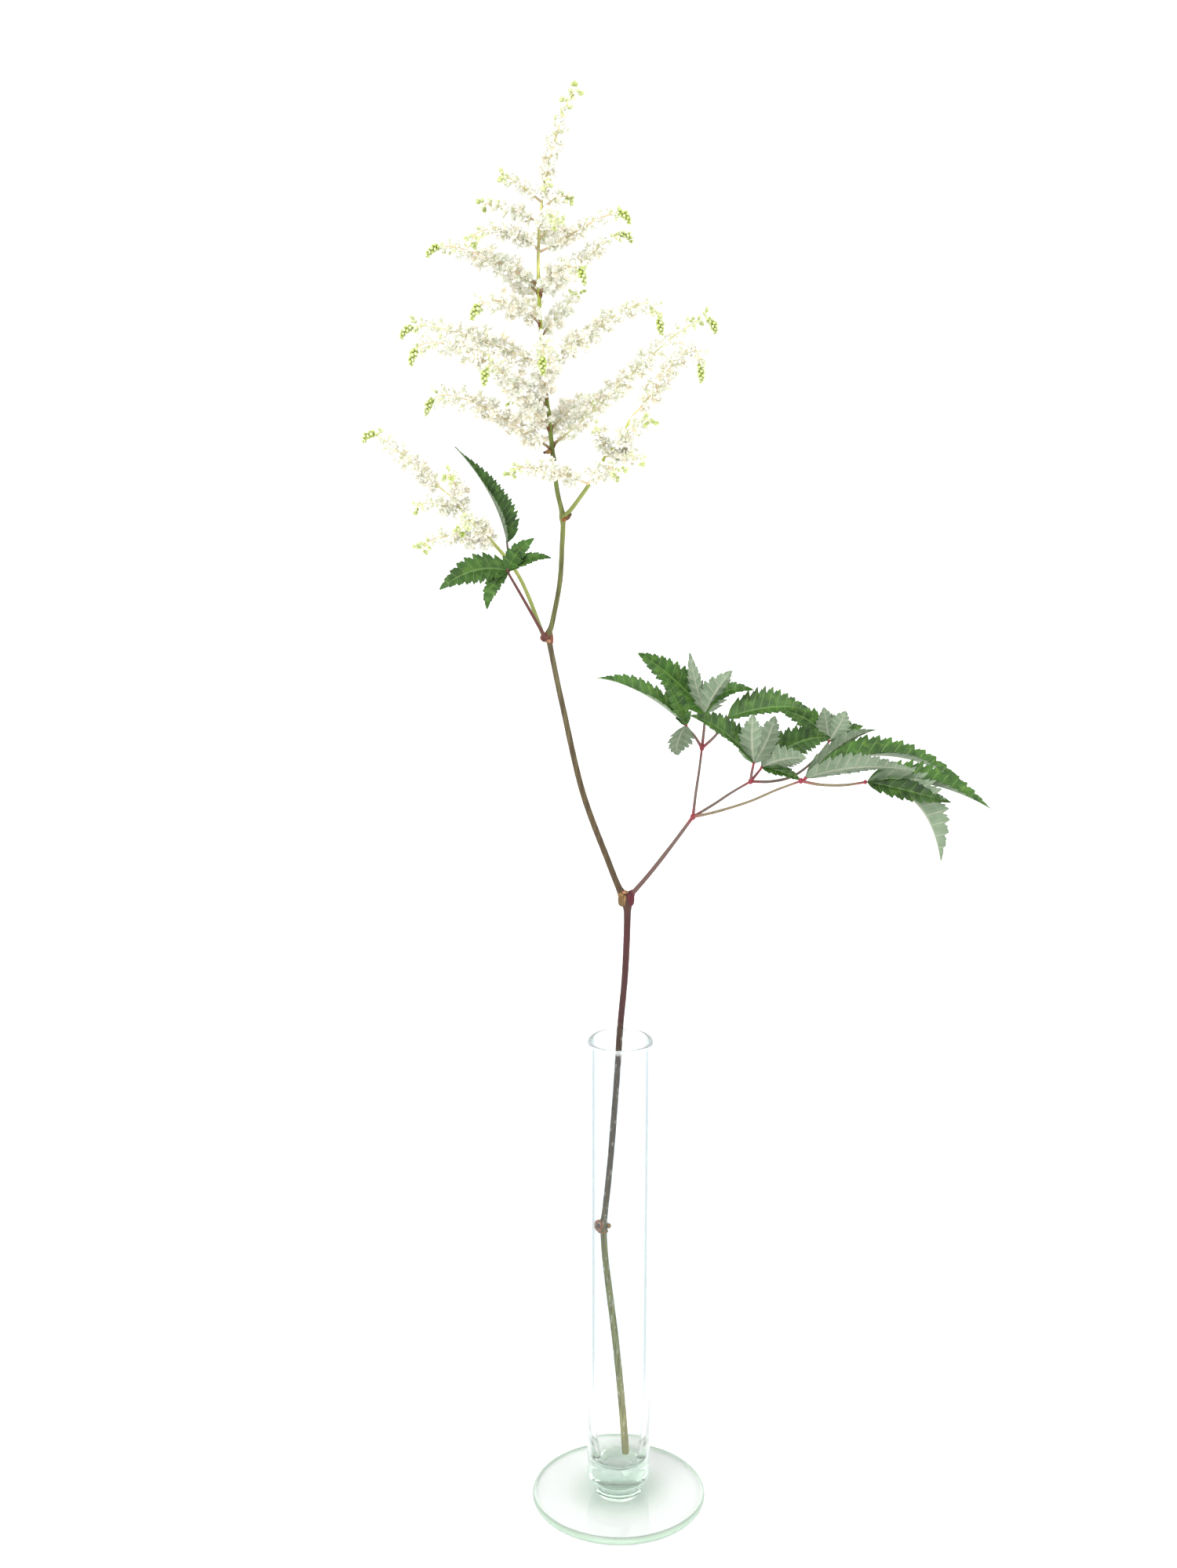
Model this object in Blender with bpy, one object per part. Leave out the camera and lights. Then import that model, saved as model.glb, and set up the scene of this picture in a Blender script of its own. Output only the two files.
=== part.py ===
# Cut astilbe stem standing in a clear glass tube vase on a round foot.
# The origin is the middle of the foot's underside. The front of the object faces -Y.
# The rows and sizes below are in millimetres, and each mesh is written in metres.
import math
import random

import bmesh
import bpy
from mathutils import Vector, geometry

METRES_PER_MM = 0.001
UP = Vector((0, 0, 1))
FRONT = Vector((0, -1, 0))
CLEARANCE = 0.3
PLANT_SEED = 7

# Vase
VASE_HEIGHT = 285
TUBE_RADIUS = 18
TUBE_WALL = 2.3
FOOT_RADIUS = 50
FOOT_THICKNESS = 5
HEEL_RADIUS = 12.5
HEEL_TOP = 17
HEEL_FILLET = 3
CAVITY_FLOOR = 24.5
CAVITY_FLOOR_RADIUS = 10
# How the glass thickens inside towards the bottom: how far in from the straight wall, and height
CAVITY_TAPER = (
    (0, 66),
    (0.7, 50),
    (2.1, 35),
    (3.6, 26.7),
)
VASE_SEGMENTS = 32

# Main stem, from the cut end up to where the end spray starts: x, y, z and radius
STEM_ROUTE = (
    (4.3, 0, 26.9, 2.2),
    (1.2, 1, 66, 2.1),
    (-2.5, 2, 104, 2.0),
    (-7.9, 4, 149, 1.9),
    (-9.2, 4.4, 171, 1.9),
    (-8.4, 5, 179, 1.8),
    (-5.4, 7, 209, 1.75),
    (-1.7, 11, 259, 1.75),
    (0, 13, 286.5, 1.75),
    (2.6, 14, 318, 1.8),
    (3.7, 14, 351, 1.9),
    (3.0, 14, 361, 1.9),
    (-0.6, 14, 367, 1.7),
    (-6.7, 13, 383, 1.65),
    (-20.7, 11, 423, 1.6),
    (-31.0, 8.5, 470, 1.5),
    (-35.6, 6.8, 493, 1.45),
    (-38.2, 6, 509, 1.45),
    (-36.5, 6, 516, 1.35),
    (-32.5, 5, 537, 1.3),
    (-31.2, 4, 556, 1.3),
    (-30.8, 4, 572, 1.3),
    (-33.8, 4, 587, 1.2),
    (-36.5, 3, 612, 1.2),
    (-38.4, 2, 630, 1.1),
    (-40.6, 1, 653, 1.0),
    (-42.4, 0, 690, 0.9),
    (-42.0, 0, 714, 0.8),
    (-39.9, 0, 735, 0.75),
)
STEM_STEP = 15
STEM_SIDES = 6
# Rings at each joint, in half lengths from its middle, and how far even rings keep off it
JOINT_RINGS = (-1.6, -0.8, 0, 0.8, 1.6)
JOINT_REACH = 2.3
# Swellings of the stem at its joints: height, extra radius, half length
STEM_JOINTS = (
    (171, 2.7, 3.6),
    (361, 2.3, 4.5),
    (509, 1.6, 3.8),
    (572, 1.2, 3.2),
    (601, 1.2, 3.0),
    (625, 0.7, 2.6),
    (690, 0.6, 2.4),
)

# Routes of the stalks, from just outside the stem
LEFT_BRANCH_ROUTE = (
    (-41.9, 6, 511.3),
    (-49.4, 5, 532),
    (-56.1, 3, 545.5),
    (-65.5, 0, 558),
    (-77.2, -4, 570.7),
    (-87.5, -8, 584.5),
)
RIGHT_BRANCH_ROUTE = (
    (-28.6, 2.1, 574.1),
    (-25.3, 0, 578),
    (-14.9, -6, 593.5),
    (-9.4, -9, 604),
    (-1.1, -12, 615),
    (4.3, -14, 625.5),
)
BRANCH_RADII = (1.15, 0.8)
BRANCH_SIDES = 6

SMALL_LEAF_STALK = (
    (-40.8, 2.6, 510.5),
    (-52.5, -3.6, 533.0),
    (-58.5, -7.6, 544.6),
)
LEAF_STALK = (
    (5.9, 13.3, 364.3),
    (15, 10, 376.5),
    (26.2, 6, 393),
    (38.1, 0, 412.2),
)
LEAF_FORKS = (
    ((38.1, 0, 412.2), (39.6, 0.8, 426), (41.2, 2.4, 437), (42.6, 4, 449)),
    ((42.6, 4, 449), (38.5, 2.6, 456), (34.5, 0.8, 460.8)),
    ((42.6, 4, 449), (43.6, 6, 458), (44.2, 7.6, 465.6)),
    ((42.6, 4, 449), (49.6, 3.4, 456), (55.2, 2.4, 464.6)),
    ((38.1, 0, 412.2), (48.4, -4, 420), (57.5, -9, 428), (67.4, -14, 435.7)),
    ((67.4, -14, 435.7), (67.6, -17, 441), (68.2, -19.6, 446.0)),
    ((67.4, -14, 435.7), (70.2, -14.2, 439.4), (72.4, -14.4, 442.4)),
    ((67.4, -14, 435.7), (79, -10, 434.6), (91, -2, 435.4), (102, 7, 441), (110.4, 13, 449.4)),
    ((38.1, 0, 412.2), (50, -10, 418), (66.6, -19, 426.2), (80, -24.5, 434), (92.4, -27, 439.6)),
    ((92.4, -27, 439.6), (102, -30, 438.4), (114, -31, 438.4), (125, -31, 440)),
)
# Swollen knuckles where the stalk forks: place and radius
LEAF_KNUCKLES = (
    ((38.1, 0, 412.2), 1.9),
    ((42.6, 4, 449), 1.6),
    ((67.4, -14, 435.7), 1.7),
    ((92.4, -27, 439.6), 1.7),
)
LEAF_STALK_RADII = (1.3, 0.9)
SMALL_STALK_RADII = (1.0, 0.8)
# Each fork is a hair thicker than the one before, so that no two faces lie on each other
FORK_RADIUS = 0.8
FORK_STEP = 0.02
FORK_TAPER = 0.15
STALK_SIDES = 4
BRANCH_STEP = 6
LEAF_STALK_STEP = 8

# Leaflets of a group grow from one point, given first.
# Each leaflet: tip, how far its middle stands off the straight line to the tip, width,
# where its upper face points in degrees (0 is up, 90 is to the front, -90 to the back), teeth on each side,
# and for the tall one of the small leaf the share of its length that is bare stalk.
LEAFLET_GROUPS = {
    "big_leaf_leaflets_1": (
        (33.9, 0.4, 462.2),
        (
            ((-12.8, -8, 489.8), (0, 0, 5), 12, 45, 8),
            ((23, -3, 488.8), (1, 0, 1), 12, 65, 6),
            ((29.5, -12, 449.5), (-2, -2, 0), 13, -100, 4),
        ),
    ),
    "big_leaf_leaflets_2": (
        (44.35, 8.0, 466.9),
        (
            ((8.5, 8, 499.4), (0, 1, 3), 17, 70, 8),
            ((50, 0, 500.5), (1, -3, 0), 20, -95, 6),
            ((66.7, -2, 482), (-3, 0, 5), 12, 50, 6),
        ),
    ),
    "big_leaf_leaflets_3": (
        (55.9, 2.3, 465.8),
        (((97.3, -8, 473.3), (0, 0, 3), 17, 60, 8),),
    ),
    "big_leaf_leaflets_4": (
        (68.35, -20.1, 447.3),
        (
            ((34.3, -30, 475), (1, 0, 4), 14, 55, 8),
            ((70.6, -27, 475.5), (0, -2, 0), 20, -85, 6),
        ),
    ),
    "big_leaf_leaflets_5": (
        (73.05, -14.5, 443.6),
        (
            ((94.5, -30, 452.5), (0, 0, 2), 16, -75, 5),
            ((93, -20, 438.2), (0, 0, 1), 9, 40, 5),
            ((109.3, -8, 457.8), (0, 0, 5), 17, 60, 8),
        ),
    ),
    "big_leaf_leaflets_6": (
        (111.0, 13.5, 450.6),
        (
            ((84, 20, 466), (2, 0, 3), 15, 60, 6),
            ((114.8, 8, 470), (0, -2, 0), 19, -95, 6),
            ((129.3, 18, 457.5), (0, 0, 1), 11, 50, 5),
        ),
    ),
    "big_leaf_leaflets_7": (
        (94.6, -28.2, 441.4),
        (
            ((148, -48, 450.6), (0, 0, 4), 16, -60, 8),
            ((181, -12, 432.2), (0, 6, 13), 16, 45, 9),
            ((131.9, -12, 463), (0, 4, 4), 10, -60, 6),
        ),
    ),
    "big_leaf_leaflets_8": (
        (126.3, -31.2, 440.4),
        (
            ((163.8, -50, 401.6), (6, -2, 10), 18, 40, 8),
            ((189.4, -36, 427.4), (0, 0, 6), 17, 50, 9),
            ((174.4, -22, 427.8), (0, 3, 0), 12, 20, 7),
        ),
    ),
    "small_leaf_leaflets": (
        (-58.8, -7.9, 546.0),
        (
            ((-85, -8, 609.5), (12, 0, 0), 13, 80, 8, 0.23),
            ((-36.5, -18, 554.5), (0, 0, 3), 7, 60, 5),
            ((-45.2, -14, 563.8), (-2, 0, 1), 11, 75, 4),
            ((-93.5, -16, 538), (0, 0, 5), 17, 65, 6),
            ((-69, -22, 529), (-3, 0, 1), 9, 65, 4),
        ),
    ),
}
LEAFLET_THICKNESS = 0.7
LEAFLET_HUB_RADIUS = 1.1
LEAFLET_STALK_RADIUS = 0.5
LEAFLET_STALK_OVERLAP = 1.1
LEAFLET_ROW_WITHOUT_STALK = 5
LEAFLET_FOLD = 0.3
LEAFLET_ROOT_WIDTH = 0.06
LEAFLET_WIDEST = 0.75
LEAFLET_FULLNESS = 0.85
TOOTH_DEPTH = 0.24
TOOTH_LEAN = 0.85

# Sprays on the main stem: height of the root, tip, arch, hook, plume radius, green cluster or not
STEM_SPRAYS = (
    (729, (-61.5, -8, 740), 2, 5, 4.6, False),
    (726, (-26.5, 10, 728.5), 3, 5, 4.4, False),
    (731, (-37, -17, 737), 1, 1, 4.5, False),
    (719, (-71.5, 12, 726), 3, 4, 4.9, False),
    (717, (-33, -30, 716.5), 4, 10, 5.0, False),
    (706, (-74.5, -26, 710), 12, 2, 5.6, False),
    (711, (-31, 38, 716.5), 3, 3, 5.1, False),
    (685, (-71, 24, 696.5), 4, 7, 5.6, False),
    (705, (2.5, -10, 718.5), 2, 15, 4.6, True),
    (689, (-97, -6, 702.5), 8, 9, 6.4, True),
    (685, (-19.5, -36, 690.5), 10, 11, 7.4, True),
    (684, (4, 22, 708.5), 1, 16, 5.6, True),
    (674, (-60, 48, 691.5), 1, 3, 6.4, False),
    (670, (-74, -36, 674), 12, 7, 7.6, True),
    (664, (-22.5, 38, 682.5), 1, 1, 6.3, False),
    (651, (18.5, -14, 665.5), 2, 37, 6.9, True),
    (650, (-112.5, 14, 661.5), 5, 14, 7.6, True),
    (629, (-105, -24, 651), 13, 20, 7.4, True),
    (634, (-39.5, -56, 649.5), 8, 27, 7.8, True),
    (617, (-15.5, 50, 624), 4, 5, 7.4, False),
    (618, (-68, -48, 643.5), 1, 28, 6.8, True),
    (609, (47.5, 22, 663.5), 1, 29, 7.2, True),
    (617, (-59, 60, 626.5), 4, 6, 7.0, False),
    (607, (-99.5, -2, 624.5), 9, 20, 7.9, True),
)
# Sprays on the two flower branches: root, tips of the rachises that grow from it, arch, hook,
# plume radius, green cluster on the first or not
LEFT_BRANCH_SPRAYS = (
    ((-87.9, -8.1, 585.1), ((-130, -16, 612.5),), 1, 16, 6.0, True),
    ((-79.8, -6.9, 573.4), ((-104, -26, 579.5), (-87.5, -34, 597.5)), 6, 4, 6.0, False),
    ((-66.4, -1.9, 557.8), ((-101, -26, 558.5), (-81, -34, 570.5)), 6, 9, 6.4, False),
)
RIGHT_BRANCH_SPRAYS = (
    ((4.5, -14.1, 626.1), ((38, -30, 643.5),), 2, 42, 7.4, True),
    ((-7.5, -10.9, 604.1), ((10, -36, 604), (12.5, -42, 625.5), (-15, -30, 619.5)), 2, 6, 6.4, False),
    ((-17.9, -6.7, 590.6), ((-56.5, -30, 597.5), (-3.5, -34, 598)), 5, 6, 7.0, False),
)
END_SPRAY_ROUTE = (
    (-39.8, 0, 735.6),
    (-37.4, 0, 745),
    (-34.6, 0, 756),
    (-31.5, 0, 767),
    (-27.6, 0, 776),
    (-23.8, 0, 781),
)
END_SPRAY_PLUME = 4.2
END_SPRAY_STEP = 5
RACHIS_RADIUS = 0.6
RACHIS_TAPER = 0.7
RACHIS_POINTS = 9
# Where a rachis is pulled by its arch and hook, as shares of the way to its tip, and how much of the arch
# is left at the second of them
ARCH_AT = 0.35
HOOK_AT = 0.98
ARCH_LEFT = 0.6
ARCH_POINTS = 60
# Length at the root with no florets
SPRAY_BARE = 5
BRANCH_SPRAY_BARE = 8
END_SPRAY_BARE = 3
# The core that the florets stand out of, as shares of the plume's radius, and the share of the bare
# length where it starts
CORE_SIDES = 4
CORE_SHARE = 0.46
CORE_TAPER = 0.5
CORE_BUMPS = (0.88, 1.12)
CORE_START = 0.6
# Florets: sizes, how they lean out and forward, and how they shorten towards both ends of the rachis
FLORET_SPACING = 5.6
FLORET_WIDTH = 3.4
FLORET_END_GAP = 2.8
FLORET_SIDES = 3
FLORET_WIDEST = 0.6
FLORET_OUT = 0.93
FLORET_FORWARD = 0.36
FLORET_ROOT = 0.15
FLORET_SPREAD = 0.15
FLORET_TAPER = 0.45
FLORET_START_SHARE = 0.5
FLORET_FULL_AFTER = 20
# The green cluster at a spray's end
GREEN_LENGTH = 9.5
GREEN_GAP = 0.7
GREEN_POINTS = 4
BUD_START = 2.0
BUD_REACH = 3.4
BUD_WIDTH = 1.8
BUD_SPACING = 1.5
GOLDEN_ANGLE = math.radians(137.508)


def clear_scene():
    for thing in list(bpy.data.objects):
        bpy.data.objects.remove(thing)


def finish_material(name, colour, roughness, transmission=0.0):
    material = bpy.data.materials.new(name)
    material.use_nodes = True
    shader = material.node_tree.nodes["Principled BSDF"]
    shader.inputs["Base Color"].default_value = (*colour, 1)
    shader.inputs["Roughness"].default_value = roughness
    shader.inputs["Metallic"].default_value = 0.0
    shader.inputs["Transmission Weight"].default_value = transmission
    return material


def add_object(name, points, faces, material):
    """Makes an object from points in millimetres."""
    mesh = bpy.data.meshes.new(name)
    mesh.from_pydata([Vector(point) * METRES_PER_MM for point in points], [], faces)
    work = bmesh.new()
    work.from_mesh(mesh)
    bmesh.ops.recalc_face_normals(work, faces=work.faces)
    work.to_mesh(mesh)
    work.free()
    made = bpy.data.objects.new(name, mesh)
    bpy.context.scene.collection.objects.link(made)
    made.data.materials.append(material)
    return made


def smooth_shading(made, angle=40):
    made.data.shade_smooth()
    made.data.set_sharp_from_angle(angle=math.radians(angle))


def join_by_union(name, pieces):
    """Unites closed pieces into one closed body and drops the loose ones."""
    first, rest = pieces[0], pieces[1:]
    gathered = bpy.data.collections.new(name + "_pieces")
    for piece in rest:
        gathered.objects.link(piece)
    union = first.modifiers.new("union", "BOOLEAN")
    union.operation = "UNION"
    union.operand_type = "COLLECTION"
    union.collection = gathered
    union.solver = "EXACT"
    evaluated = first.evaluated_get(bpy.context.evaluated_depsgraph_get())
    joined = bpy.data.meshes.new_from_object(evaluated)
    first.modifiers.clear()
    first.data = joined
    first.name = name
    for piece in rest:
        bpy.data.objects.remove(piece)
    bpy.data.collections.remove(gathered)
    return first


def smooth_route(points, step):
    """Points about one step apart along a smooth curve through the given points."""
    points = [Vector(point) for point in points]
    route = []
    for index in range(len(points) - 1):
        before = points[max(index - 1, 0)]
        start, end = points[index], points[index + 1]
        after = points[min(index + 2, len(points) - 1)]
        count = max(1, round((end - start).length / step))
        for part in range(count):
            t = part / count
            route.append(0.5 * (2 * start + (end - before) * t
                                + (2 * before - 5 * start + 4 * end - after) * t ** 2
                                + (3 * start - before - 3 * end + after) * t ** 3))
    route.append(points[-1])
    return route


def arched_route(root, tip, arch, hook):
    """A curve that leaves its root outwards, arches over and ends pointing down."""
    root, tip = Vector(root), Vector(tip)
    first = root + (tip - root) * ARCH_AT + UP * arch
    second = root + (tip - root) * HOOK_AT + UP * (hook + arch * ARCH_LEFT)
    return geometry.interpolate_bezier(root, first, second, tip, ARCH_POINTS)


def distances(route):
    """How far along the route each of its points is."""
    along = [0.0]
    for before, after in zip(route, route[1:]):
        along.append(along[-1] + (after - before).length)
    return along


def point_at(route, along, place):
    """The point at a distance along the route, and the index of the point after it."""
    index = next((i for i in range(1, len(along)) if along[i] >= place), len(along) - 1)
    share = (place - along[index - 1]) / (along[index] - along[index - 1])
    return route[index - 1].lerp(route[index], min(share, 1)), index


def even_points(route, start, end, count):
    """Points evenly spaced between two distances along the route."""
    along = distances(route)
    return [point_at(route, along, start + (end - start) * part / (count - 1))[0] for part in range(count)]


def ring_frames(route):
    """Two directions across the route at each of its points, without twist."""
    frames = []
    across = None
    for index, point in enumerate(route):
        ahead = (route[min(index + 1, len(route) - 1)] - route[max(index - 1, 0)]).normalized()
        if across is None:
            across = ahead.orthogonal().normalized()
        across = (across - ahead * across.dot(ahead)).normalized()
        frames.append((across, ahead.cross(across)))
    return frames


def add_tube(name, route, radii, sides, material):
    """A closed round rod along the route."""
    points, faces = [], []
    for point, radius, (across, over) in zip(route, radii, ring_frames(route)):
        for side in range(sides):
            turn = 2 * math.pi * side / sides
            points.append(point + across * (math.cos(turn) * radius) + over * (math.sin(turn) * radius))
    for ring in range(len(route) - 1):
        for side in range(sides):
            following = (side + 1) % sides
            low, high = ring * sides, (ring + 1) * sides
            faces.append((low + side, low + following, high + following, high + side))
    faces.append(tuple(reversed(range(sides))))
    faces.append(tuple(range((len(route) - 1) * sides, len(route) * sides)))
    made = add_object(name, points, faces, material)
    smooth_shading(made)
    return made


def add_knuckle(name, place, radius, material):
    ball = bmesh.new()
    bmesh.ops.create_icosphere(ball, subdivisions=1, radius=radius)
    points = [vert.co + Vector(place) for vert in ball.verts]
    faces = [[vert.index for vert in face.verts] for face in ball.faces]
    ball.free()
    return add_object(name, points, faces, material)


def even_radii(count, start, end):
    return [start + (end - start) * index / (count - 1) for index in range(count)]


def arc_points(centre, radius, start, end, count):
    """Points of an arc in the vase's profile, angles in degrees."""
    angles = [math.radians(start + (end - start) * index / count) for index in range(count + 1)]
    return [(centre[0] + radius * math.cos(a), centre[1] + radius * math.sin(a)) for a in angles]


def vase_profile():
    """Half outline of the glass: under the foot, round its edge, up the tube and down inside."""
    edge = FOOT_THICKNESS / 2
    lip = TUBE_WALL / 2
    heel = TUBE_RADIUS - HEEL_RADIUS
    inner = TUBE_RADIUS - TUBE_WALL
    outline = [(0, 0)]
    outline += arc_points((FOOT_RADIUS - edge, edge), edge, -90, 90, 4)
    fillet_centre = (HEEL_RADIUS + HEEL_FILLET, FOOT_THICKNESS + HEEL_FILLET)
    outline += arc_points(fillet_centre, HEEL_FILLET, 270, 180, 3)
    outline += arc_points((HEEL_RADIUS, HEEL_TOP), heel, -50, 0, 3)
    outline += arc_points((TUBE_RADIUS - lip, VASE_HEIGHT - lip), lip, 0, 180, 4)
    outline += [(inner - thicker, height) for thicker, height in CAVITY_TAPER]
    outline += [(CAVITY_FLOOR_RADIUS, CAVITY_FLOOR), (0, CAVITY_FLOOR)]
    return outline


def make_vase():
    outline = vase_profile()
    points = [(0, 0, outline[0][1]), (0, 0, outline[-1][1])]
    faces = []
    turned = outline[1:-1]
    for side in range(VASE_SEGMENTS):
        turn = 2 * math.pi * side / VASE_SEGMENTS
        points += [(math.cos(turn) * r, math.sin(turn) * r, z) for r, z in turned]
    for side in range(VASE_SEGMENTS):
        here = 2 + side * len(turned)
        there = 2 + (side + 1) % VASE_SEGMENTS * len(turned)
        faces.append((0, there, here))
        faces.append((1, here + len(turned) - 1, there + len(turned) - 1))
        for step in range(len(turned) - 1):
            faces.append((here + step, there + step, there + step + 1, here + step + 1))
    glass = finish_material("clear_glass", (0.86, 0.95, 0.9), 0.05, 0.9)
    vase = add_object("glass_vase", points, faces, glass)
    smooth_shading(vase)


def stem_point(height):
    """The stem's centre and radius at a height."""
    for low, high in zip(STEM_ROUTE, STEM_ROUTE[1:]):
        if low[2] <= height <= high[2]:
            t = (height - low[2]) / (high[2] - low[2])
            return Vector(low[:3]).lerp(Vector(high[:3]), t), low[3] + (high[3] - low[3]) * t
    return Vector(STEM_ROUTE[-1][:3]), STEM_ROUTE[-1][3]


def swelling(height):
    return sum(extra * math.exp(-((height - joint) / half) ** 2) for joint, extra, half in STEM_JOINTS)


def stem_heights():
    """Heights of the stem's rings: even ones, and closer ones at each joint."""
    bottom, top = STEM_ROUTE[0][2], STEM_ROUTE[-1][2]
    count = round((top - bottom) / STEM_STEP)
    heights = [bottom + (top - bottom) * index / count for index in range(count + 1)]
    for joint, _, half in STEM_JOINTS:
        heights = [height for height in heights if abs(height - joint) > JOINT_REACH * half]
        heights += [joint + half * offset for offset in JOINT_RINGS]
    return sorted(heights)


def make_stem():
    fine = smooth_route([row[:3] for row in STEM_ROUTE], 1)
    route = [min(fine, key=lambda point: abs(point.z - height)) for height in stem_heights()]
    radii = [stem_point(point.z)[1] + swelling(point.z) for point in route]
    add_tube("main_stem", route, radii, STEM_SIDES, finish_material("stem_olive", (0.16, 0.17, 0.06), 0.55))


def make_branches():
    green = finish_material("branch_green", (0.3, 0.42, 0.12), 0.55)
    routes = {"left_flower_branch": LEFT_BRANCH_ROUTE, "right_flower_branch": RIGHT_BRANCH_ROUTE}
    for name, points in routes.items():
        route = smooth_route(points, BRANCH_STEP)
        add_tube(name, route, even_radii(len(route), *BRANCH_RADII), BRANCH_SIDES, green)


def make_leaf_stalks():
    maroon = finish_material("leaf_stalk_maroon", (0.22, 0.06, 0.09), 0.5)
    small = smooth_route(SMALL_LEAF_STALK, BRANCH_STEP)
    add_tube("small_leaf_stalk", small, even_radii(len(small), *SMALL_STALK_RADII), STALK_SIDES, maroon)
    trunk = smooth_route(LEAF_STALK, LEAF_STALK_STEP)
    radii = even_radii(len(trunk), *LEAF_STALK_RADII)
    pieces = [add_tube("big_leaf_stalk", trunk, radii, STALK_SIDES, maroon)]
    for index, points in enumerate(LEAF_FORKS):
        route = smooth_route(points, LEAF_STALK_STEP)
        radii = even_radii(len(route), FORK_RADIUS + FORK_STEP * index, FORK_RADIUS - FORK_TAPER)
        pieces.append(add_tube(f"fork_{index}", route, radii, STALK_SIDES, maroon))
    for index, (place, radius) in enumerate(LEAF_KNUCKLES):
        pieces.append(add_knuckle(f"knuckle_{index}", place, radius, maroon))
    join_by_union("big_leaf_stalk", pieces)


def leaflet_middle(root, tip, bow, t):
    """A point of the leaflet's bowed middle line."""
    root, tip, bow = Vector(root), Vector(tip), Vector(bow)
    return root + (tip - root) * t + bow * (4 * t * (1 - t))


def leaflet_half_width(share, width):
    """Half width along a blade: narrow at its root, widest at two fifths, pointed at its end."""
    return width / 2 * max(LEAFLET_ROOT_WIDTH, math.sin(math.pi * share ** LEAFLET_WIDEST) ** LEAFLET_FULLNESS)


def leaflet_surface(root, tip, bow, width, facing, teeth, bare):
    """Points and triangles of one face, and the direction that it faces."""
    reach = Vector(tip) - Vector(root)
    forward = reach.normalized()
    turn = math.radians(facing)
    face = UP * math.cos(turn) + FRONT * math.sin(turn)
    face = (face - forward * face.dot(forward)).normalized()

    def middle(share):
        return leaflet_middle(root, tip, bow, bare + (1 - bare) * share)

    def across(share, sign, reach_out):
        t = bare + (1 - bare) * share
        half = leaflet_half_width(share, width) * reach_out
        side = (reach + Vector(bow) * (4 - 8 * t)).cross(face).normalized()
        return middle(share) + side * (sign * half) + face * (half * LEAFLET_FOLD)

    points = [middle(index / teeth) for index in range(teeth + 1)]
    triangles = []
    for sign in (1, -1):
        first = len(points)
        points += [across(min((index + TOOTH_LEAN) / teeth, 1), sign, 1) for index in range(teeth)]
        points += [across(index / teeth, sign, 1 - TOOTH_DEPTH) for index in range(1, teeth)]
        notches = [0] + [first + teeth + index for index in range(teeth - 1)] + [teeth]
        for index in range(teeth):
            tooth = first + index
            start, end = notches[index], notches[index + 1]
            for corners in ((index, start, tooth), (index, tooth, index + 1), (index + 1, tooth, end)):
                if len(set(corners)) == 3:
                    triangles.append(corners if sign > 0 else tuple(reversed(corners)))
    return points, triangles, face


def add_leaflet(name, root, material, tip, bow, width, facing, teeth, bare=0):
    points, triangles, face = leaflet_surface(root, tip, bow, width, facing, teeth, bare)
    count = len(points)
    every = points + [point - face * LEAFLET_THICKNESS for point in points]
    faces = list(triangles)
    faces += [tuple(corner + count for corner in reversed(corners)) for corners in triangles]
    edges = {(corners[index - 1], corners[index]): corners for corners in triangles for index in range(3)}
    for start, end in edges:
        if (end, start) not in edges:
            faces.append((end, start, start + count))
            faces.append((end, start + count, end + count))
    return add_object(name, every, faces, material)


def add_leaflet_stalk(name, root, tip, bow, bare, material):
    shares = (0, bare / 2, bare * LEAFLET_STALK_OVERLAP)
    route = [leaflet_middle(root, tip, bow, share) for share in shares]
    return add_tube(name, route, [LEAFLET_STALK_RADIUS] * len(route), STALK_SIDES, material)


def make_leaflets():
    green = finish_material("leaf_green", (0.05, 0.18, 0.03), 0.5)
    for name, (root, rows) in LEAFLET_GROUPS.items():
        pieces = [add_knuckle(name, root, LEAFLET_HUB_RADIUS, green)]
        for index, row in enumerate(rows):
            pieces.append(add_leaflet(f"{name}_{index}", root, green, *row))
            if len(row) > LEAFLET_ROW_WITHOUT_STALK:
                pieces.append(add_leaflet_stalk(name + "_stalk", root, row[0], row[1], row[-1], green))
        join_by_union(name, pieces)


def add_spindle(name, root, end, width, turn, material):
    """One floret: pointed at both ends, widest past its middle."""
    forward = (end - root).normalized()
    across = forward.orthogonal().normalized()
    over = forward.cross(across)
    belly = root.lerp(end, FLORET_WIDEST)
    points = [root, end]
    for side in range(FLORET_SIDES):
        angle = turn + 2 * math.pi * side / FLORET_SIDES
        points.append(belly + (across * math.cos(angle) + over * math.sin(angle)) * width)
    faces = []
    for side in range(FLORET_SIDES):
        here, there = 2 + side, 2 + (side + 1) % FLORET_SIDES
        faces += [(0, there, here), (1, here, there)]
    return add_object(name, points, faces, material)


def add_florets(name, route, start, plume, width, spacing, material, draw):
    """Florets round a rachis, turned by the golden angle from one to the next."""
    frames = ring_frames(route)
    along = distances(route)
    florets = []
    place = start
    turn = draw.uniform(0, 2 * math.pi)
    while place < along[-1] - FLORET_END_GAP:
        centre, index = point_at(route, along, place)
        across, over = frames[index]
        out = across * math.cos(turn) + over * math.sin(turn)
        ahead = (route[index] - route[index - 1]).normalized()
        share = min(1 - FLORET_TAPER * place / along[-1], FLORET_START_SHARE + place / FLORET_FULL_AFTER)
        reach = plume * share * draw.uniform(1 - FLORET_SPREAD, 1 + FLORET_SPREAD)
        root = centre + out * FLORET_ROOT
        end = centre + (out * FLORET_OUT + ahead * FLORET_FORWARD) * reach
        florets.append(add_spindle(f"{name}_{len(florets)}", root, end, width, turn, material))
        place += spacing
        turn += GOLDEN_ANGLE
    return florets


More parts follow.
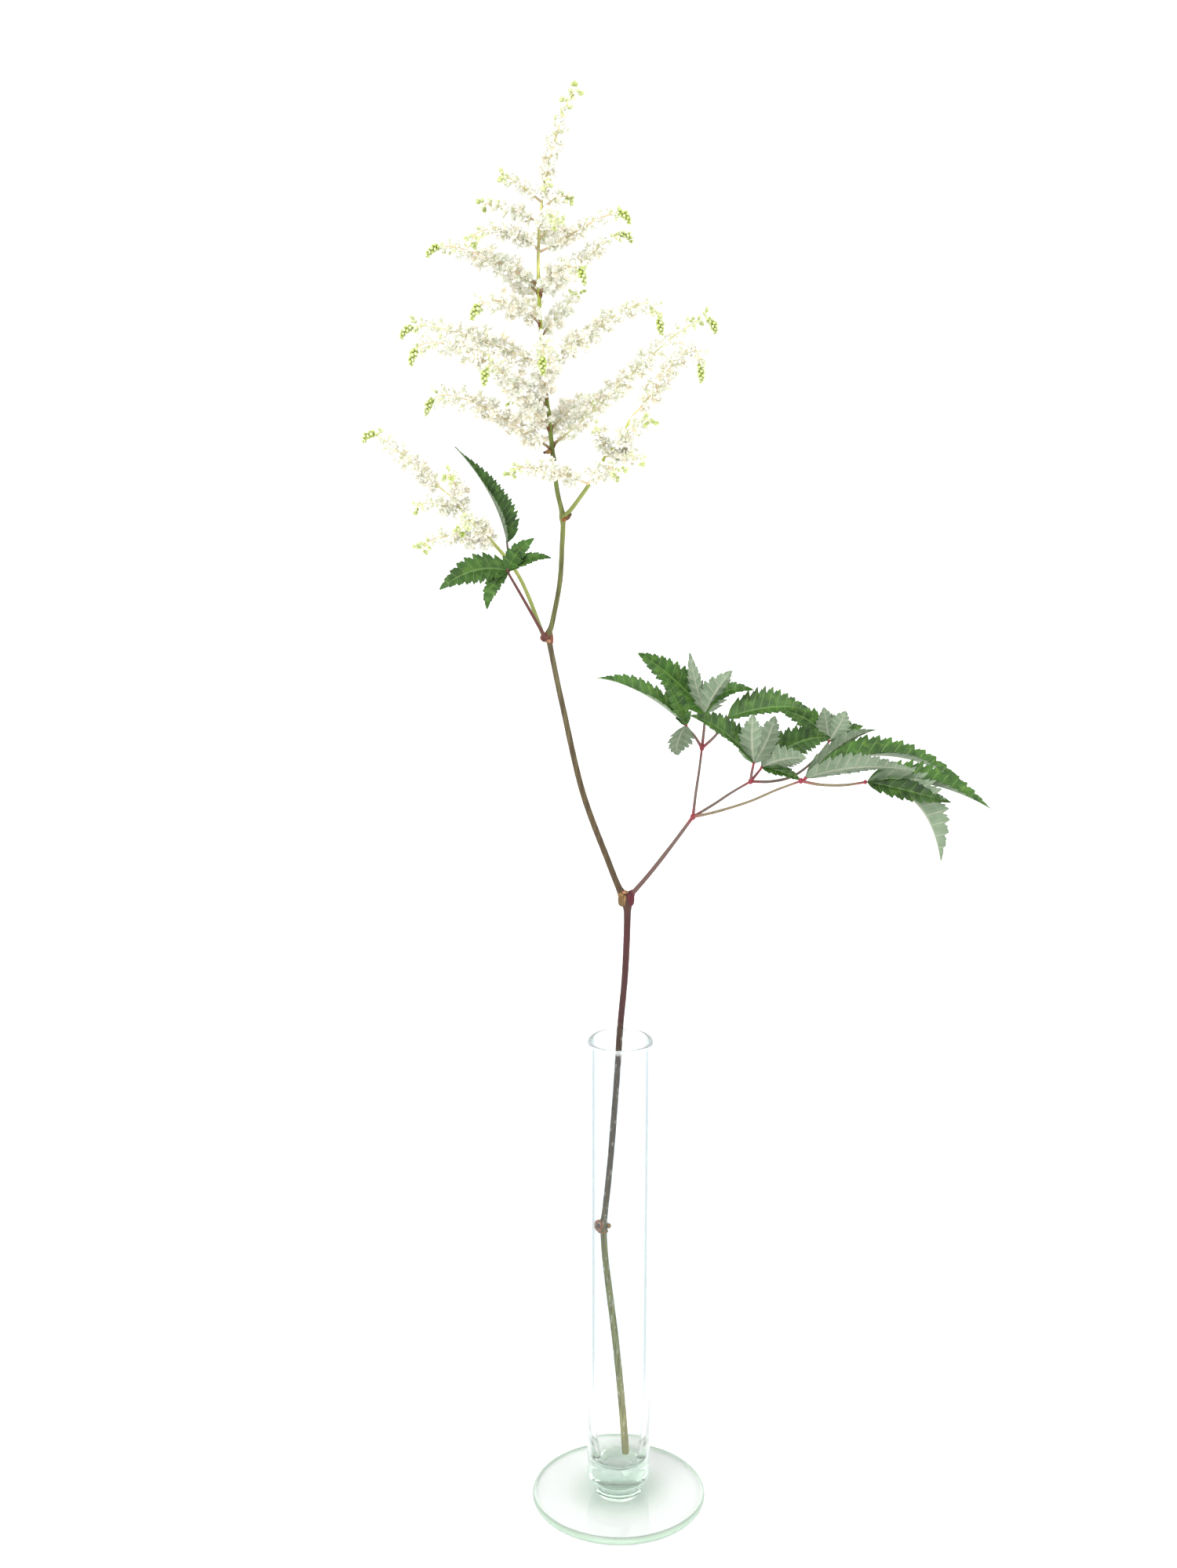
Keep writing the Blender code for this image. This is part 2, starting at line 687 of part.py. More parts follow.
def core_radii(route, plume, bare):
    """The bare rachis, then the core that the florets stand out of, thinner to the tip."""
    along = distances(route)
    radii = []
    for index, place in enumerate(along):
        thick = plume * CORE_SHARE * (1 - CORE_TAPER * place / along[-1]) * CORE_BUMPS[index % 2]
        radii.append(RACHIS_RADIUS if place < bare * CORE_START else thick)
    radii[-1] = RACHIS_RADIUS
    return radii


def make_spray(name, routes, plume, bare, green_end, materials):
    """One spray: rachises with white florets, and a green bud cluster past the first one's last floret."""
    white, green = materials
    draw = random.Random(f"{PLANT_SEED} {name}")
    pieces = []
    for index, route in enumerate(routes):
        whole = distances(route)[-1]
        end = whole - GREEN_LENGTH if green_end and index == 0 else whole
        body = even_points(route, 0, end, RACHIS_POINTS)
        part = f"{name}_{index}"
        pieces.append(add_tube(part, body, core_radii(body, plume, bare), CORE_SIDES, white))
        pieces += add_florets(part, body, bare, plume, FLORET_WIDTH, FLORET_SPACING, white, draw)
    join_by_union(name, pieces)
    if green_end:
        end_name = name + "_green_buds"
        whole = distances(routes[0])[-1]
        tail = even_points(routes[0], whole - GREEN_LENGTH + GREEN_GAP, whole, GREEN_POINTS)
        radii = even_radii(len(tail), RACHIS_RADIUS, RACHIS_RADIUS * RACHIS_TAPER)
        stalk = add_tube(end_name, tail, radii, CORE_SIDES, green)
        buds = add_florets(end_name, tail, BUD_START, BUD_REACH, BUD_WIDTH, BUD_SPACING, green, draw)
        join_by_union(end_name, [stalk] + buds)


def make_sprays():
    white = finish_material("floret_white", (0.9, 0.88, 0.78), 0.6)
    green = finish_material("bud_green", (0.5, 0.62, 0.1), 0.55)
    both = (white, green)
    for index, (height, tip, arch, hook, plume, green_end) in enumerate(STEM_SPRAYS):
        centre, radius = stem_point(height)
        out = (Vector(tip) - centre).normalized()
        flat = Vector((out.x, out.y, 0)).length
        root = centre + out * ((radius + swelling(height) + CLEARANCE + RACHIS_RADIUS) / flat)
        route = arched_route(root, tip, arch, hook)
        make_spray(f"spray_{index + 1:02d}", [route], plume, SPRAY_BARE, green_end, both)
    for side, rows in (("left", LEFT_BRANCH_SPRAYS), ("right", RIGHT_BRANCH_SPRAYS)):
        for index, (root, tips, arch, hook, plume, green_end) in enumerate(rows):
            name = f"{side}_branch_spray_{index + 1}"
            routes = [arched_route(root, tip, arch, hook) for tip in tips]
            make_spray(name, routes, plume, BRANCH_SPRAY_BARE, green_end, both)
    end_route = smooth_route(END_SPRAY_ROUTE, END_SPRAY_STEP)
    make_spray("end_spray", [end_route], END_SPRAY_PLUME, END_SPRAY_BARE, False, both)


clear_scene()
make_vase()
make_stem()
make_branches()
make_leaf_stalks()
make_leaflets()
make_sprays()
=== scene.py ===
# Cut astilbe stem in a clear glass tube vase: the finished look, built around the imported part.
# Lengths in the dictionaries are millimetres, colours are 0 to 255 as seen, and meshes are written in metres.
import math
import random

import bpy
import numpy as np
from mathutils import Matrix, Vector, geometry, noise


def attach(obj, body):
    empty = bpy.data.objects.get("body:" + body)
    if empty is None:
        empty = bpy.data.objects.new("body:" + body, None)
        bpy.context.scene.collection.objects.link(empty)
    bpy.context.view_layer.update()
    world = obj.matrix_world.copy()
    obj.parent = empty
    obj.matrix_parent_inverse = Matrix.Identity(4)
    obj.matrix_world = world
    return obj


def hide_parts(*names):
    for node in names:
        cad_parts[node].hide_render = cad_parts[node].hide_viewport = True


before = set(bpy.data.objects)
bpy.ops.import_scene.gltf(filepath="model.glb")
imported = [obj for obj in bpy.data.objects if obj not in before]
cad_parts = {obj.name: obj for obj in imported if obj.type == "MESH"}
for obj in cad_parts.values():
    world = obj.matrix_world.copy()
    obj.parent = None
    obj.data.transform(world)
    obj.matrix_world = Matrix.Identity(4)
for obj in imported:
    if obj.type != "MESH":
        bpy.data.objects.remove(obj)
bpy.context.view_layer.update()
print("frame loaded, nodes:", len(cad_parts))

mm = 0.001
up = Vector((0, 0, 1))
front = Vector((0, -1, 0))
plantSeed = 7
goldenAngle = math.radians(137.508)


# Colours and shaders

def paint(red, green, blue):
    # from the colour as seen on a screen to the linear colour that shaders use
    def linear(value):
        value = value / 255
        return value / 12.92 if value <= 0.04045 else ((value + 0.055) / 1.055) ** 2.4
    return (linear(red), linear(green), linear(blue), 1)


def blendPaint(first, second, share):
    return tuple(a + (b - a) * share for a, b in zip(first, second))


def newMaterial(name, roughness, specular=0.5):
    material = bpy.data.materials.new(name)
    material.use_nodes = True
    shader = material.node_tree.nodes["Principled BSDF"]
    shader.inputs["Roughness"].default_value = roughness
    shader.inputs["Specular IOR Level"].default_value = specular
    return material, material.node_tree, shader


def addNode(tree, kind, **values):
    node = tree.nodes.new(kind)
    for key, value in values.items():
        setattr(node, key, value)
    return node


def setInputs(node, **values):
    for key, value in values.items():
        node.inputs[key.replace("_", " ")].default_value = value
    return node


def noiseField(tree, source, scale, detail=3, stretch=None):
    # a noise texture on object coordinates, stretched along Z when asked
    if stretch:
        mapping = addNode(tree, "ShaderNodeMapping")
        mapping.inputs["Scale"].default_value = stretch
        tree.links.new(source, mapping.inputs["Vector"])
        source = mapping.outputs["Vector"]
    texture = addNode(tree, "ShaderNodeTexNoise")
    setInputs(texture, Scale=scale, Detail=detail)
    tree.links.new(source, texture.inputs["Vector"])
    return texture.outputs["Fac"]


def remap(tree, source, low, high, newLow=0.0, newHigh=1.0, smooth=False):
    node = addNode(tree, "ShaderNodeMapRange")
    if smooth:
        node.interpolation_type = "SMOOTHSTEP"
    for index, value in enumerate((low, high, newLow, newHigh)):
        node.inputs[index + 1].default_value = value
    tree.links.new(source, node.inputs["Value"])
    return node.outputs["Result"]


def mathNode(tree, operation, first, second=None):
    node = addNode(tree, "ShaderNodeMath", operation=operation)
    for index, value in enumerate((first, second)):
        if value is None:
            continue
        if isinstance(value, (int, float)):
            node.inputs[index].default_value = value
        else:
            tree.links.new(value, node.inputs[index])
    return node.outputs[0]


def mixColours(tree, share, first, second, mode="MIX"):
    node = addNode(tree, "ShaderNodeMix", data_type="RGBA", blend_type=mode)
    for socket, value in ((node.inputs["Factor"], share), (node.inputs[6], first), (node.inputs[7], second)):
        if isinstance(value, (int, float, tuple)):
            socket.default_value = value
        else:
            tree.links.new(value, socket)
    return node.outputs[2]


def addBump(tree, shader, height, strength, depth):
    bump = addNode(tree, "ShaderNodeBump")
    setInputs(bump, Strength=strength, Distance=depth * mm)
    tree.links.new(height, bump.inputs["Height"])
    tree.links.new(bump.outputs["Normal"], shader.inputs["Normal"])


def tintAndSpot(tree):
    # the colour stored on the mesh, and object coordinates
    tint = addNode(tree, "ShaderNodeAttribute", attribute_name="tint")
    spot = addNode(tree, "ShaderNodeTexCoord")
    return tint.outputs["Color"], spot.outputs["Object"]


def placeParts(tree):
    # the three numbers stored on the mesh beside its colour
    place = addNode(tree, "ShaderNodeAttribute", attribute_name="place")
    parts = addNode(tree, "ShaderNodeSeparateXYZ")
    tree.links.new(place.outputs["Vector"], parts.inputs["Vector"])
    return parts.outputs


def addGrain(tree, shader, grain):
    # darkens the mesh's own colour along a lengthwise grain, and raises the grain a little
    tint, spot = tintAndSpot(tree)
    streaks = noiseField(tree, spot, grain["scale"], 4, (1, 1, grain["stretch"]))
    share = remap(tree, streaks, *grain["range"], 0, grain["share"])
    addBump(tree, shader, streaks, grain["bump"], grain["bumpDepth"])
    return mixColours(tree, share, tint, paint(*grain["colour"])), spot


def makeGrainMaterial(name, grain):
    material, tree, shader = newMaterial(name, grain["roughness"], grain["specular"])
    colour, _ = addGrain(tree, shader, grain)
    tree.links.new(colour, shader.inputs["Base Color"])
    return material


def letLightThrough(tree, shader, colour, share):
    # thin petals and leaves glow a little with the light behind them
    glow = addNode(tree, "ShaderNodeBsdfTranslucent")
    tree.links.new(colour, glow.inputs["Color"])
    both = addNode(tree, "ShaderNodeMixShader")
    both.inputs[0].default_value = share
    tree.links.new(shader.outputs["BSDF"], both.inputs[1])
    tree.links.new(glow.outputs["BSDF"], both.inputs[2])
    tree.links.new(both.outputs["Shader"], tree.nodes["Material Output"].inputs["Surface"])


# Mesh helpers: shapes are piled up as arrays and written out once for each piece

def newPile():
    return {"points": [], "faces": [], "slots": [], "tints": [], "places": [], "count": 0}


def pileUp(pile, points, faces, tint, slots=None, places=None):
    points = np.asarray(points, float).reshape(-1, 3)
    tint = np.asarray(tint, float)
    if tint.ndim == 1:
        tint = np.tile(tint, (len(points), 1))
    pile["points"].append(points)
    for group in faces:
        pile["faces"].append(np.asarray(group, int) + pile["count"])
    pile["slots"].append(np.zeros(sum(len(group) for group in faces), int) if slots is None else slots)
    pile["tints"].append(tint)
    pile["places"].append(np.zeros((len(points), 3)) if places is None else places)
    pile["count"] += len(points)


def pieceFromPile(name, pile, materials, replaced, sharpAngle=None):
    points = np.concatenate(pile["points"]) * mm
    faces = [face for group in pile["faces"] for face in group.tolist()]
    mesh = bpy.data.meshes.new(name)
    mesh.from_pydata(points.tolist(), [], faces)
    mesh.polygons.foreach_set("material_index", np.concatenate(pile["slots"]))
    tints = np.concatenate(pile["tints"])
    colour = mesh.attributes.new("tint", "FLOAT_COLOR", "POINT")
    colour.data.foreach_set("color", tints.astype(np.float32).ravel())
    place = mesh.attributes.new("place", "FLOAT_VECTOR", "POINT")
    place.data.foreach_set("vector", np.concatenate(pile["places"]).astype(np.float32).ravel())
    if sharpAngle:
        mesh.shade_smooth()
        mesh.set_sharp_from_angle(angle=math.radians(sharpAngle))
    for material in materials:
        mesh.materials.append(material)
    piece = bpy.data.objects.new(name, mesh)
    bpy.context.scene.collection.objects.link(piece)
    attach(piece, "root")
    if replaced:
        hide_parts(*replaced)
    return piece


def smoothRoute(points, step):
    # points about one step apart along a smooth curve through the given points
    points = [Vector(point) for point in points]
    route = []
    for index in range(len(points) - 1):
        before = points[max(index - 1, 0)]
        start, end = points[index], points[index + 1]
        after = points[min(index + 2, len(points) - 1)]
        count = max(1, round((end - start).length / step))
        for part in range(count):
            t = part / count
            route.append(0.5 * (2 * start + (end - before) * t
                                + (2 * before - 5 * start + 4 * end - after) * t ** 2
                                + (3 * start - before - 3 * end + after) * t ** 3))
    route.append(points[-1])
    return route


def distancesOf(route):
    along = [0.0]
    for before, after in zip(route, route[1:]):
        along.append(along[-1] + (after - before).length)
    return along


def pointAt(route, along, place):
    index = next((i for i in range(1, len(along)) if along[i] >= place), len(along) - 1)
    share = (place - along[index - 1]) / (along[index] - along[index - 1])
    return route[index - 1].lerp(route[index], min(share, 1)), index


def evenPoints(route, start, end, step):
    along = distancesOf(route)
    count = max(3, round((end - start) / step))
    return [pointAt(route, along, start + (end - start) * part / count)[0] for part in range(count + 1)]


def framesOf(route):
    # two directions across the route at each point, without twist
    frames, across = [], None
    for index in range(len(route)):
        ahead = (route[min(index + 1, len(route) - 1)] - route[max(index - 1, 0)]).normalized()
        if across is None:
            across = ahead.orthogonal().normalized()
        across = (across - ahead * across.dot(ahead)).normalized()
        frames.append((across, ahead.cross(across)))
    return frames


def addTube(pile, route, radii, sides, tints, ripple=0.0):
    # a closed round stalk; its tint is one colour, or one for each ring
    angles = np.arange(sides) * 2 * math.pi / sides
    points, colours = [], []
    tints = tints if isinstance(tints, list) else [tints] * len(route)
    for point, radius, (across, over), tint in zip(route, radii, framesOf(route), tints):
        turned = np.outer(np.cos(angles), across) + np.outer(np.sin(angles), over)
        rough = 1 + ripple * noise.noise(Vector(point) * 0.35)
        points.append(np.array(point) + turned * radius * rough)
        colours += [tint] * sides
    ends = len(route) * sides
    points.append(np.array([route[0], route[-1]]))
    colours += [tints[0], tints[-1]]
    ring = np.arange(sides)
    following = (ring + 1) % sides
    quads = [np.stack([ring, following, following + sides, ring + sides], 1) + sides * row
             for row in range(len(route) - 1)]
    last = (len(route) - 1) * sides
    caps = [np.stack([following, ring, np.full(sides, ends)], 1),
            np.stack([ring + last, following + last, np.full(sides, ends + 1)], 1)]
    pileUp(pile, np.concatenate(points), [np.concatenate(quads)] + caps, np.array(colours))


def addBall(pile, centre, radii, sides, levels, tint, lumps=0.0, tipTint=None):
    # a closed round knuckle or bud: radii across, over and along its own axis
    points, colours = [(0, 0, -radii[2])], [tint]
    for level in range(1, levels):
        rise = -math.cos(math.pi * level / levels)
        reach = math.sin(math.pi * level / levels)
        shade = tint if tipTint is None else blendPaint(tint, tipTint, (rise + 1) / 2)
        for side in range(sides):
            turn = 2 * math.pi * (side + level * 0.5) / sides
            points.append((math.cos(turn) * reach * radii[0], math.sin(turn) * reach * radii[1],
                           rise * radii[2]))
            colours.append(shade)
    points.append((0, 0, radii[2]))
    colours.append(tint if tipTint is None else tipTint)
    points = np.array(points)
    if lumps:
        swell = [1 + lumps * noise.noise(Vector(point) * 1.3 + Vector(centre)) for point in points]
        points = points * np.array(swell)[:, None]
    ring = np.arange(sides)
    following = (ring + 1) % sides
    faces = [np.stack([np.zeros(sides, int), following + 1, ring + 1], 1)]
    for level in range(levels - 2):
        low, high = 1 + level * sides, 1 + (level + 1) * sides
        faces.append(np.stack([ring + low, following + low, following + high, ring + high], 1))
    top = 1 + (levels - 2) * sides
    faces.append(np.stack([ring + top, following + top, np.full(sides, len(points) - 1)], 1))
    pileUp(pile, points + np.array(centre), faces, np.array(colours))


def turnTo(forward, spin):
    # a rotation that takes +Z to a direction, after a spin round it
    across = forward.orthogonal().normalized()
    over = forward.cross(across)
    turned = across * math.cos(spin) + over * math.sin(spin)
    return np.array([turned, forward.cross(turned), forward]).T


def addSheet(pile, grid, thickness, tint, places=None, twoFaces=False):
    # a closed thin sheet from a grid of points: upper face, lower face and the edge between them
    rows, columns = grid.shape[:2]
    lengthwise = np.gradient(grid, axis=0)
    crosswise = np.gradient(grid, axis=1)
    normal = np.cross(crosswise, lengthwise)
    normal /= np.maximum(np.linalg.norm(normal, axis=2, keepdims=True), 1e-9)
    upper = (grid + normal * thickness / 2).reshape(-1, 3)
    lower = (grid - normal * thickness / 2).reshape(-1, 3)
    index = np.arange(rows * columns).reshape(rows, columns)
    quads = np.stack([index[:-1, :-1], index[:-1, 1:], index[1:, 1:], index[1:, :-1]], 2).reshape(-1, 4)
    count = rows * columns
    border = np.concatenate([index[0, :], index[1:, -1], index[-1, -2::-1], index[-2:0:-1, 0]])
    after = np.roll(border, -1)
    edge = np.stack([after, border, border + count, after + count], 1)
    slots = np.concatenate([np.zeros(len(quads)), np.full(len(quads), int(twoFaces)), np.zeros(len(edge))])
    tint = np.asarray(tint, float)
    if tint.ndim == 2:
        tint = np.concatenate([tint, tint])
    if places is not None:
        places = np.concatenate([places, places])
    pileUp(pile, np.concatenate([upper, lower]), [quads, quads[:, ::-1] + count, edge], tint,
           slots.astype(int), places)


# Camera, light and floor

studio = {
    "cameraPlace": (-17.5, -1131.5, 746.3),
    "cameraPitch": 15.6,
    "lens": 50.84,
    "sensor": 36,
    "clipStart": 10,
    "floorRadius": 14000,
    "floorSides": 96,
    "floorDrop": 0.3,
    "floorColour": (250, 250, 250),
    "floorRoughness": 0.9,
    "floorSpecular": 0.1,
    "worldColour": (255, 255, 255),
    "worldStrength": 1.36,
    "lampAim": (0, 0, 400),
    "keyPlace": (-900, -1300, 1700),
    "keySize": 1300,
    "keyPower": 30,
    "fillPlace": (1500, -600, 1100),
    "fillSize": 1200,
    "fillPower": 12,
}


def makeCamera():
    data = bpy.data.cameras.new("camera")
    data.lens = studio["lens"]
    data.sensor_width = studio["sensor"]
    data.clip_start = studio["clipStart"] * mm
    camera = bpy.data.objects.new("camera", data)
    camera.location = Vector(studio["cameraPlace"]) * mm
    camera.rotation_euler = (math.radians(90 - studio["cameraPitch"]), 0, 0)
    bpy.context.scene.collection.objects.link(camera)
    bpy.context.scene.camera = camera


def makeFloor():
    material, _, shader = newMaterial("floorPaper", studio["floorRoughness"], studio["floorSpecular"])
    shader.inputs["Base Color"].default_value = paint(*studio["floorColour"])
    radius, drop = studio["floorRadius"] * mm, studio["floorDrop"] * mm
    turns = [2 * math.pi * index / studio["floorSides"] for index in range(studio["floorSides"])]
    corners = [(math.cos(a) * radius, math.sin(a) * radius, -drop) for a in turns]
    mesh = bpy.data.meshes.new("floor")
    mesh.from_pydata(corners, [], [list(range(len(corners)))])
    mesh.materials.append(material)
    floor = bpy.data.objects.new("floor", mesh)
    bpy.context.scene.collection.objects.link(floor)


def makeLights():
    world = bpy.data.worlds.new("studio")
    world.use_nodes = True
    background = world.node_tree.nodes["Background"]
    background.inputs["Color"].default_value = paint(*studio["worldColour"])
    background.inputs["Strength"].default_value = studio["worldStrength"]
    bpy.context.scene.world = world
    for name in ("key", "fill"):
        data = bpy.data.lights.new(name, "AREA")
        data.shape = "DISK"
        data.size = studio[name + "Size"] * mm
        data.energy = studio[name + "Power"]
        lamp = bpy.data.objects.new(name, data)
        lamp.location = Vector(studio[name + "Place"]) * mm
        aim = Vector(studio["lampAim"]) * mm - lamp.location
        lamp.rotation_euler = aim.to_track_quat("-Z", "Y").to_euler()
        bpy.context.scene.collection.objects.link(lamp)
    bpy.context.scene.view_settings.view_transform = "Standard"


# Vase

vaseLook = {
    "height": 285,
    "tubeRadius": 18,
    "wall": 2.3,
    "footRadius": 50,
    "footThickness": 5,
    "heelRadius": 12.5,
    "heelTop": 17,
    "heelFillet": 3,
    "cavityFloor": 24.5,
    "cavityFloorRadius": 10,
    # how much thicker the wall is than above, and at what height, as the cavity narrows to its floor
    "cavityTaper": ((0, 66), (0.25, 58), (0.7, 50), (1.3, 42), (2.1, 35), (2.9, 30), (3.8, 26.9),
                    (4.8, 25.3)),
    # heights of the rings up the tube: clear ones, then faintly tinted ones
    "clearHeights": (29, 60),
    "tubeHeights": (90, 140, 190, 240, 270, 282),
    # shares of the foot's radius where its lower and its upper face have a ring of their own
    "footRings": (0.5, 0.66),
    "footSteps": 16,
    "heelSteps": 8,
    "heelFrom": -50,
    "lipSteps": 14,
    "turns": 160,
    "sharpAngle": 35,
    "refraction": 1.35,
    "clear": (255, 255, 255),
    "tube": (231, 236, 239),
    # painted shade: the glass is painted greyer and less clear where it is seen edge on: colour, where that
    # starts and ends, greatest share
    "paintedEdgeShade": (140, 160, 158),
    "paintedEdgeShadeRange": (0.5, 0.7),
    "paintedEdgeShadeShare": 0.55,
    "lip": (222, 226, 225),
    "footEdge": (188, 212, 190),
    "footEdgeFade": 0.7,
    "heel": (224, 238, 226),
    # how milky each place is, from 0 for clear to 1
    "lipMilk": 0.3,
    "footMilk": 0.6,
    "heelMilk": 0.08,
    # thick glass takes up light: a linear colour here, and how strongly
    "depthTint": (0.5, 0.68, 0.54, 1),
    "depthDensity": 11.0,
}


def arcPoints(centre, radius, start, end, count):
    angles = [math.radians(start + (end - start) * index / count) for index in range(count + 1)]
    return [(centre[0] + radius * math.cos(a), centre[1] + radius * math.sin(a)) for a in angles]


def vaseOutline():
    # radius and height of each ring, with the colour there and how milky the glass is
    look = vaseLook
    edge, lip = look["footThickness"] / 2, look["wall"] / 2
    inner = look["tubeRadius"] - look["wall"]
    heel = look["tubeRadius"] - look["heelRadius"]
    fillet = look["heelFillet"]
    clear, tube, green = (look["clear"], 0), (look["tube"], 0), (look["heel"], look["heelMilk"])
    lowerRing, upperRing = look["footRings"]
    outline = [((look["footRadius"] * lowerRing, 0), clear)]
    for spot in arcPoints((look["footRadius"] - edge, edge), edge, -90, 90, look["footSteps"]):
        near = max(0, 1 - (look["footRadius"] - spot[0]) / edge) ** look["footEdgeFade"]
        shade = tuple(255 + (value - 255) * near for value in look["footEdge"])
        outline.append((spot, (shade, look["footMilk"] * near)))
    outline.append(((look["footRadius"] * upperRing, look["footThickness"]), clear))
    middle = (look["heelRadius"] + fillet, look["footThickness"] + fillet)
    outline += [(spot, green) for spot in arcPoints(middle, fillet, 270, 180, look["heelSteps"])]
    middle = (look["heelRadius"], look["heelTop"])
    outline += [(spot, green) for spot in arcPoints(middle, heel, look["heelFrom"], 0, look["heelSteps"])]
    outline += [((look["tubeRadius"], height), clear) for height in look["clearHeights"]]
    outline += [((look["tubeRadius"], height), tube) for height in look["tubeHeights"]]
    middle, rim = (look["tubeRadius"] - lip, look["height"] - lip), (look["lip"], look["lipMilk"])
    outline += [(spot, rim) for spot in arcPoints(middle, lip, 0, 180, look["lipSteps"])]
    outline += [((inner, height), tube) for height in reversed(look["tubeHeights"])]
    outline += [((inner - thicker, height), clear) for thicker, height in look["cavityTaper"]]
    outline.append(((look["cavityFloorRadius"], look["cavityFloor"]), clear))
    return outline


def makeGlass():
    look = vaseLook
    material, tree, shader = newMaterial("clearGlass", 0.0)
    shader.inputs["IOR"].default_value = look["refraction"]
    tint = addNode(tree, "ShaderNodeAttribute", attribute_name="tint")
    milk = placeParts(tree)["X"]
    facing = addNode(tree, "ShaderNodeLayerWeight")
    # painted shade where the glass is seen edge on: grey mixed into its colour, and less light let through
    paintedEdgeShade = remap(tree, facing.outputs["Facing"], *look["paintedEdgeShadeRange"], 0, look["paintedEdgeShadeShare"], smooth=True)
    colour = mixColours(tree, paintedEdgeShade, tint.outputs["Color"], paint(*look["paintedEdgeShade"]))
    tree.links.new(colour, shader.inputs["Base Color"])
    # the glass's own milkiness, with the painted edge shade on top
    milkAndEdgeShade = mathNode(tree, "MAXIMUM", milk, paintedEdgeShade)
    tree.links.new(remap(tree, milkAndEdgeShade, 0, 1, 1, 0), shader.inputs["Transmission Weight"])
    depth = addNode(tree, "ShaderNodeVolumeAbsorption")
    setInputs(depth, Color=look["depthTint"], Density=look["depthDensity"])
    tree.links.new(depth.outputs["Volume"], tree.nodes["Material Output"].inputs["Volume"])
    return material


def makeVase():
    look = vaseLook
    rows = vaseOutline()
    outline = np.array([spot for spot, _ in rows])
    turns = np.arange(look["turns"]) * 2 * math.pi / look["turns"]
    radii, heights = outline[:, 0], outline[:, 1]
    rings = [np.stack([radii * math.cos(a), radii * math.sin(a), heights], 1) for a in turns]
    points = np.concatenate(rings + [[(0, 0, 0), (0, 0, look["cavityFloor"])]])
    count = len(outline)
    here = np.arange(look["turns"]) * count
    there = np.roll(here, -1)
    faces = [np.stack([here + step, there + step, there + step + 1, here + step + 1], 1)
             for step in range(count - 1)]
    bottom, middle = len(points) - 2, len(points) - 1
    faces.append(np.stack([np.full(len(here), bottom), there, here], 1))
    faces.append(np.stack([np.full(len(here), middle), here + count - 1, there + count - 1], 1))
    clear = paint(*look["clear"])
    tints = [paint(*colour) for _, (colour, _) in rows] * look["turns"] + [clear, clear]
    milks = [(milk, 0, 0) for _, (_, milk) in rows] * look["turns"] + [(0, 0, 0)] * 2
    pile = newPile()
    pileUp(pile, points, faces, np.array(tints), places=np.array(milks))
    pieceFromPile("glassVase", pile, [makeGlass()], ["glass_vase"], look["sharpAngle"])


# Main stem, with its joints and papery sheaths

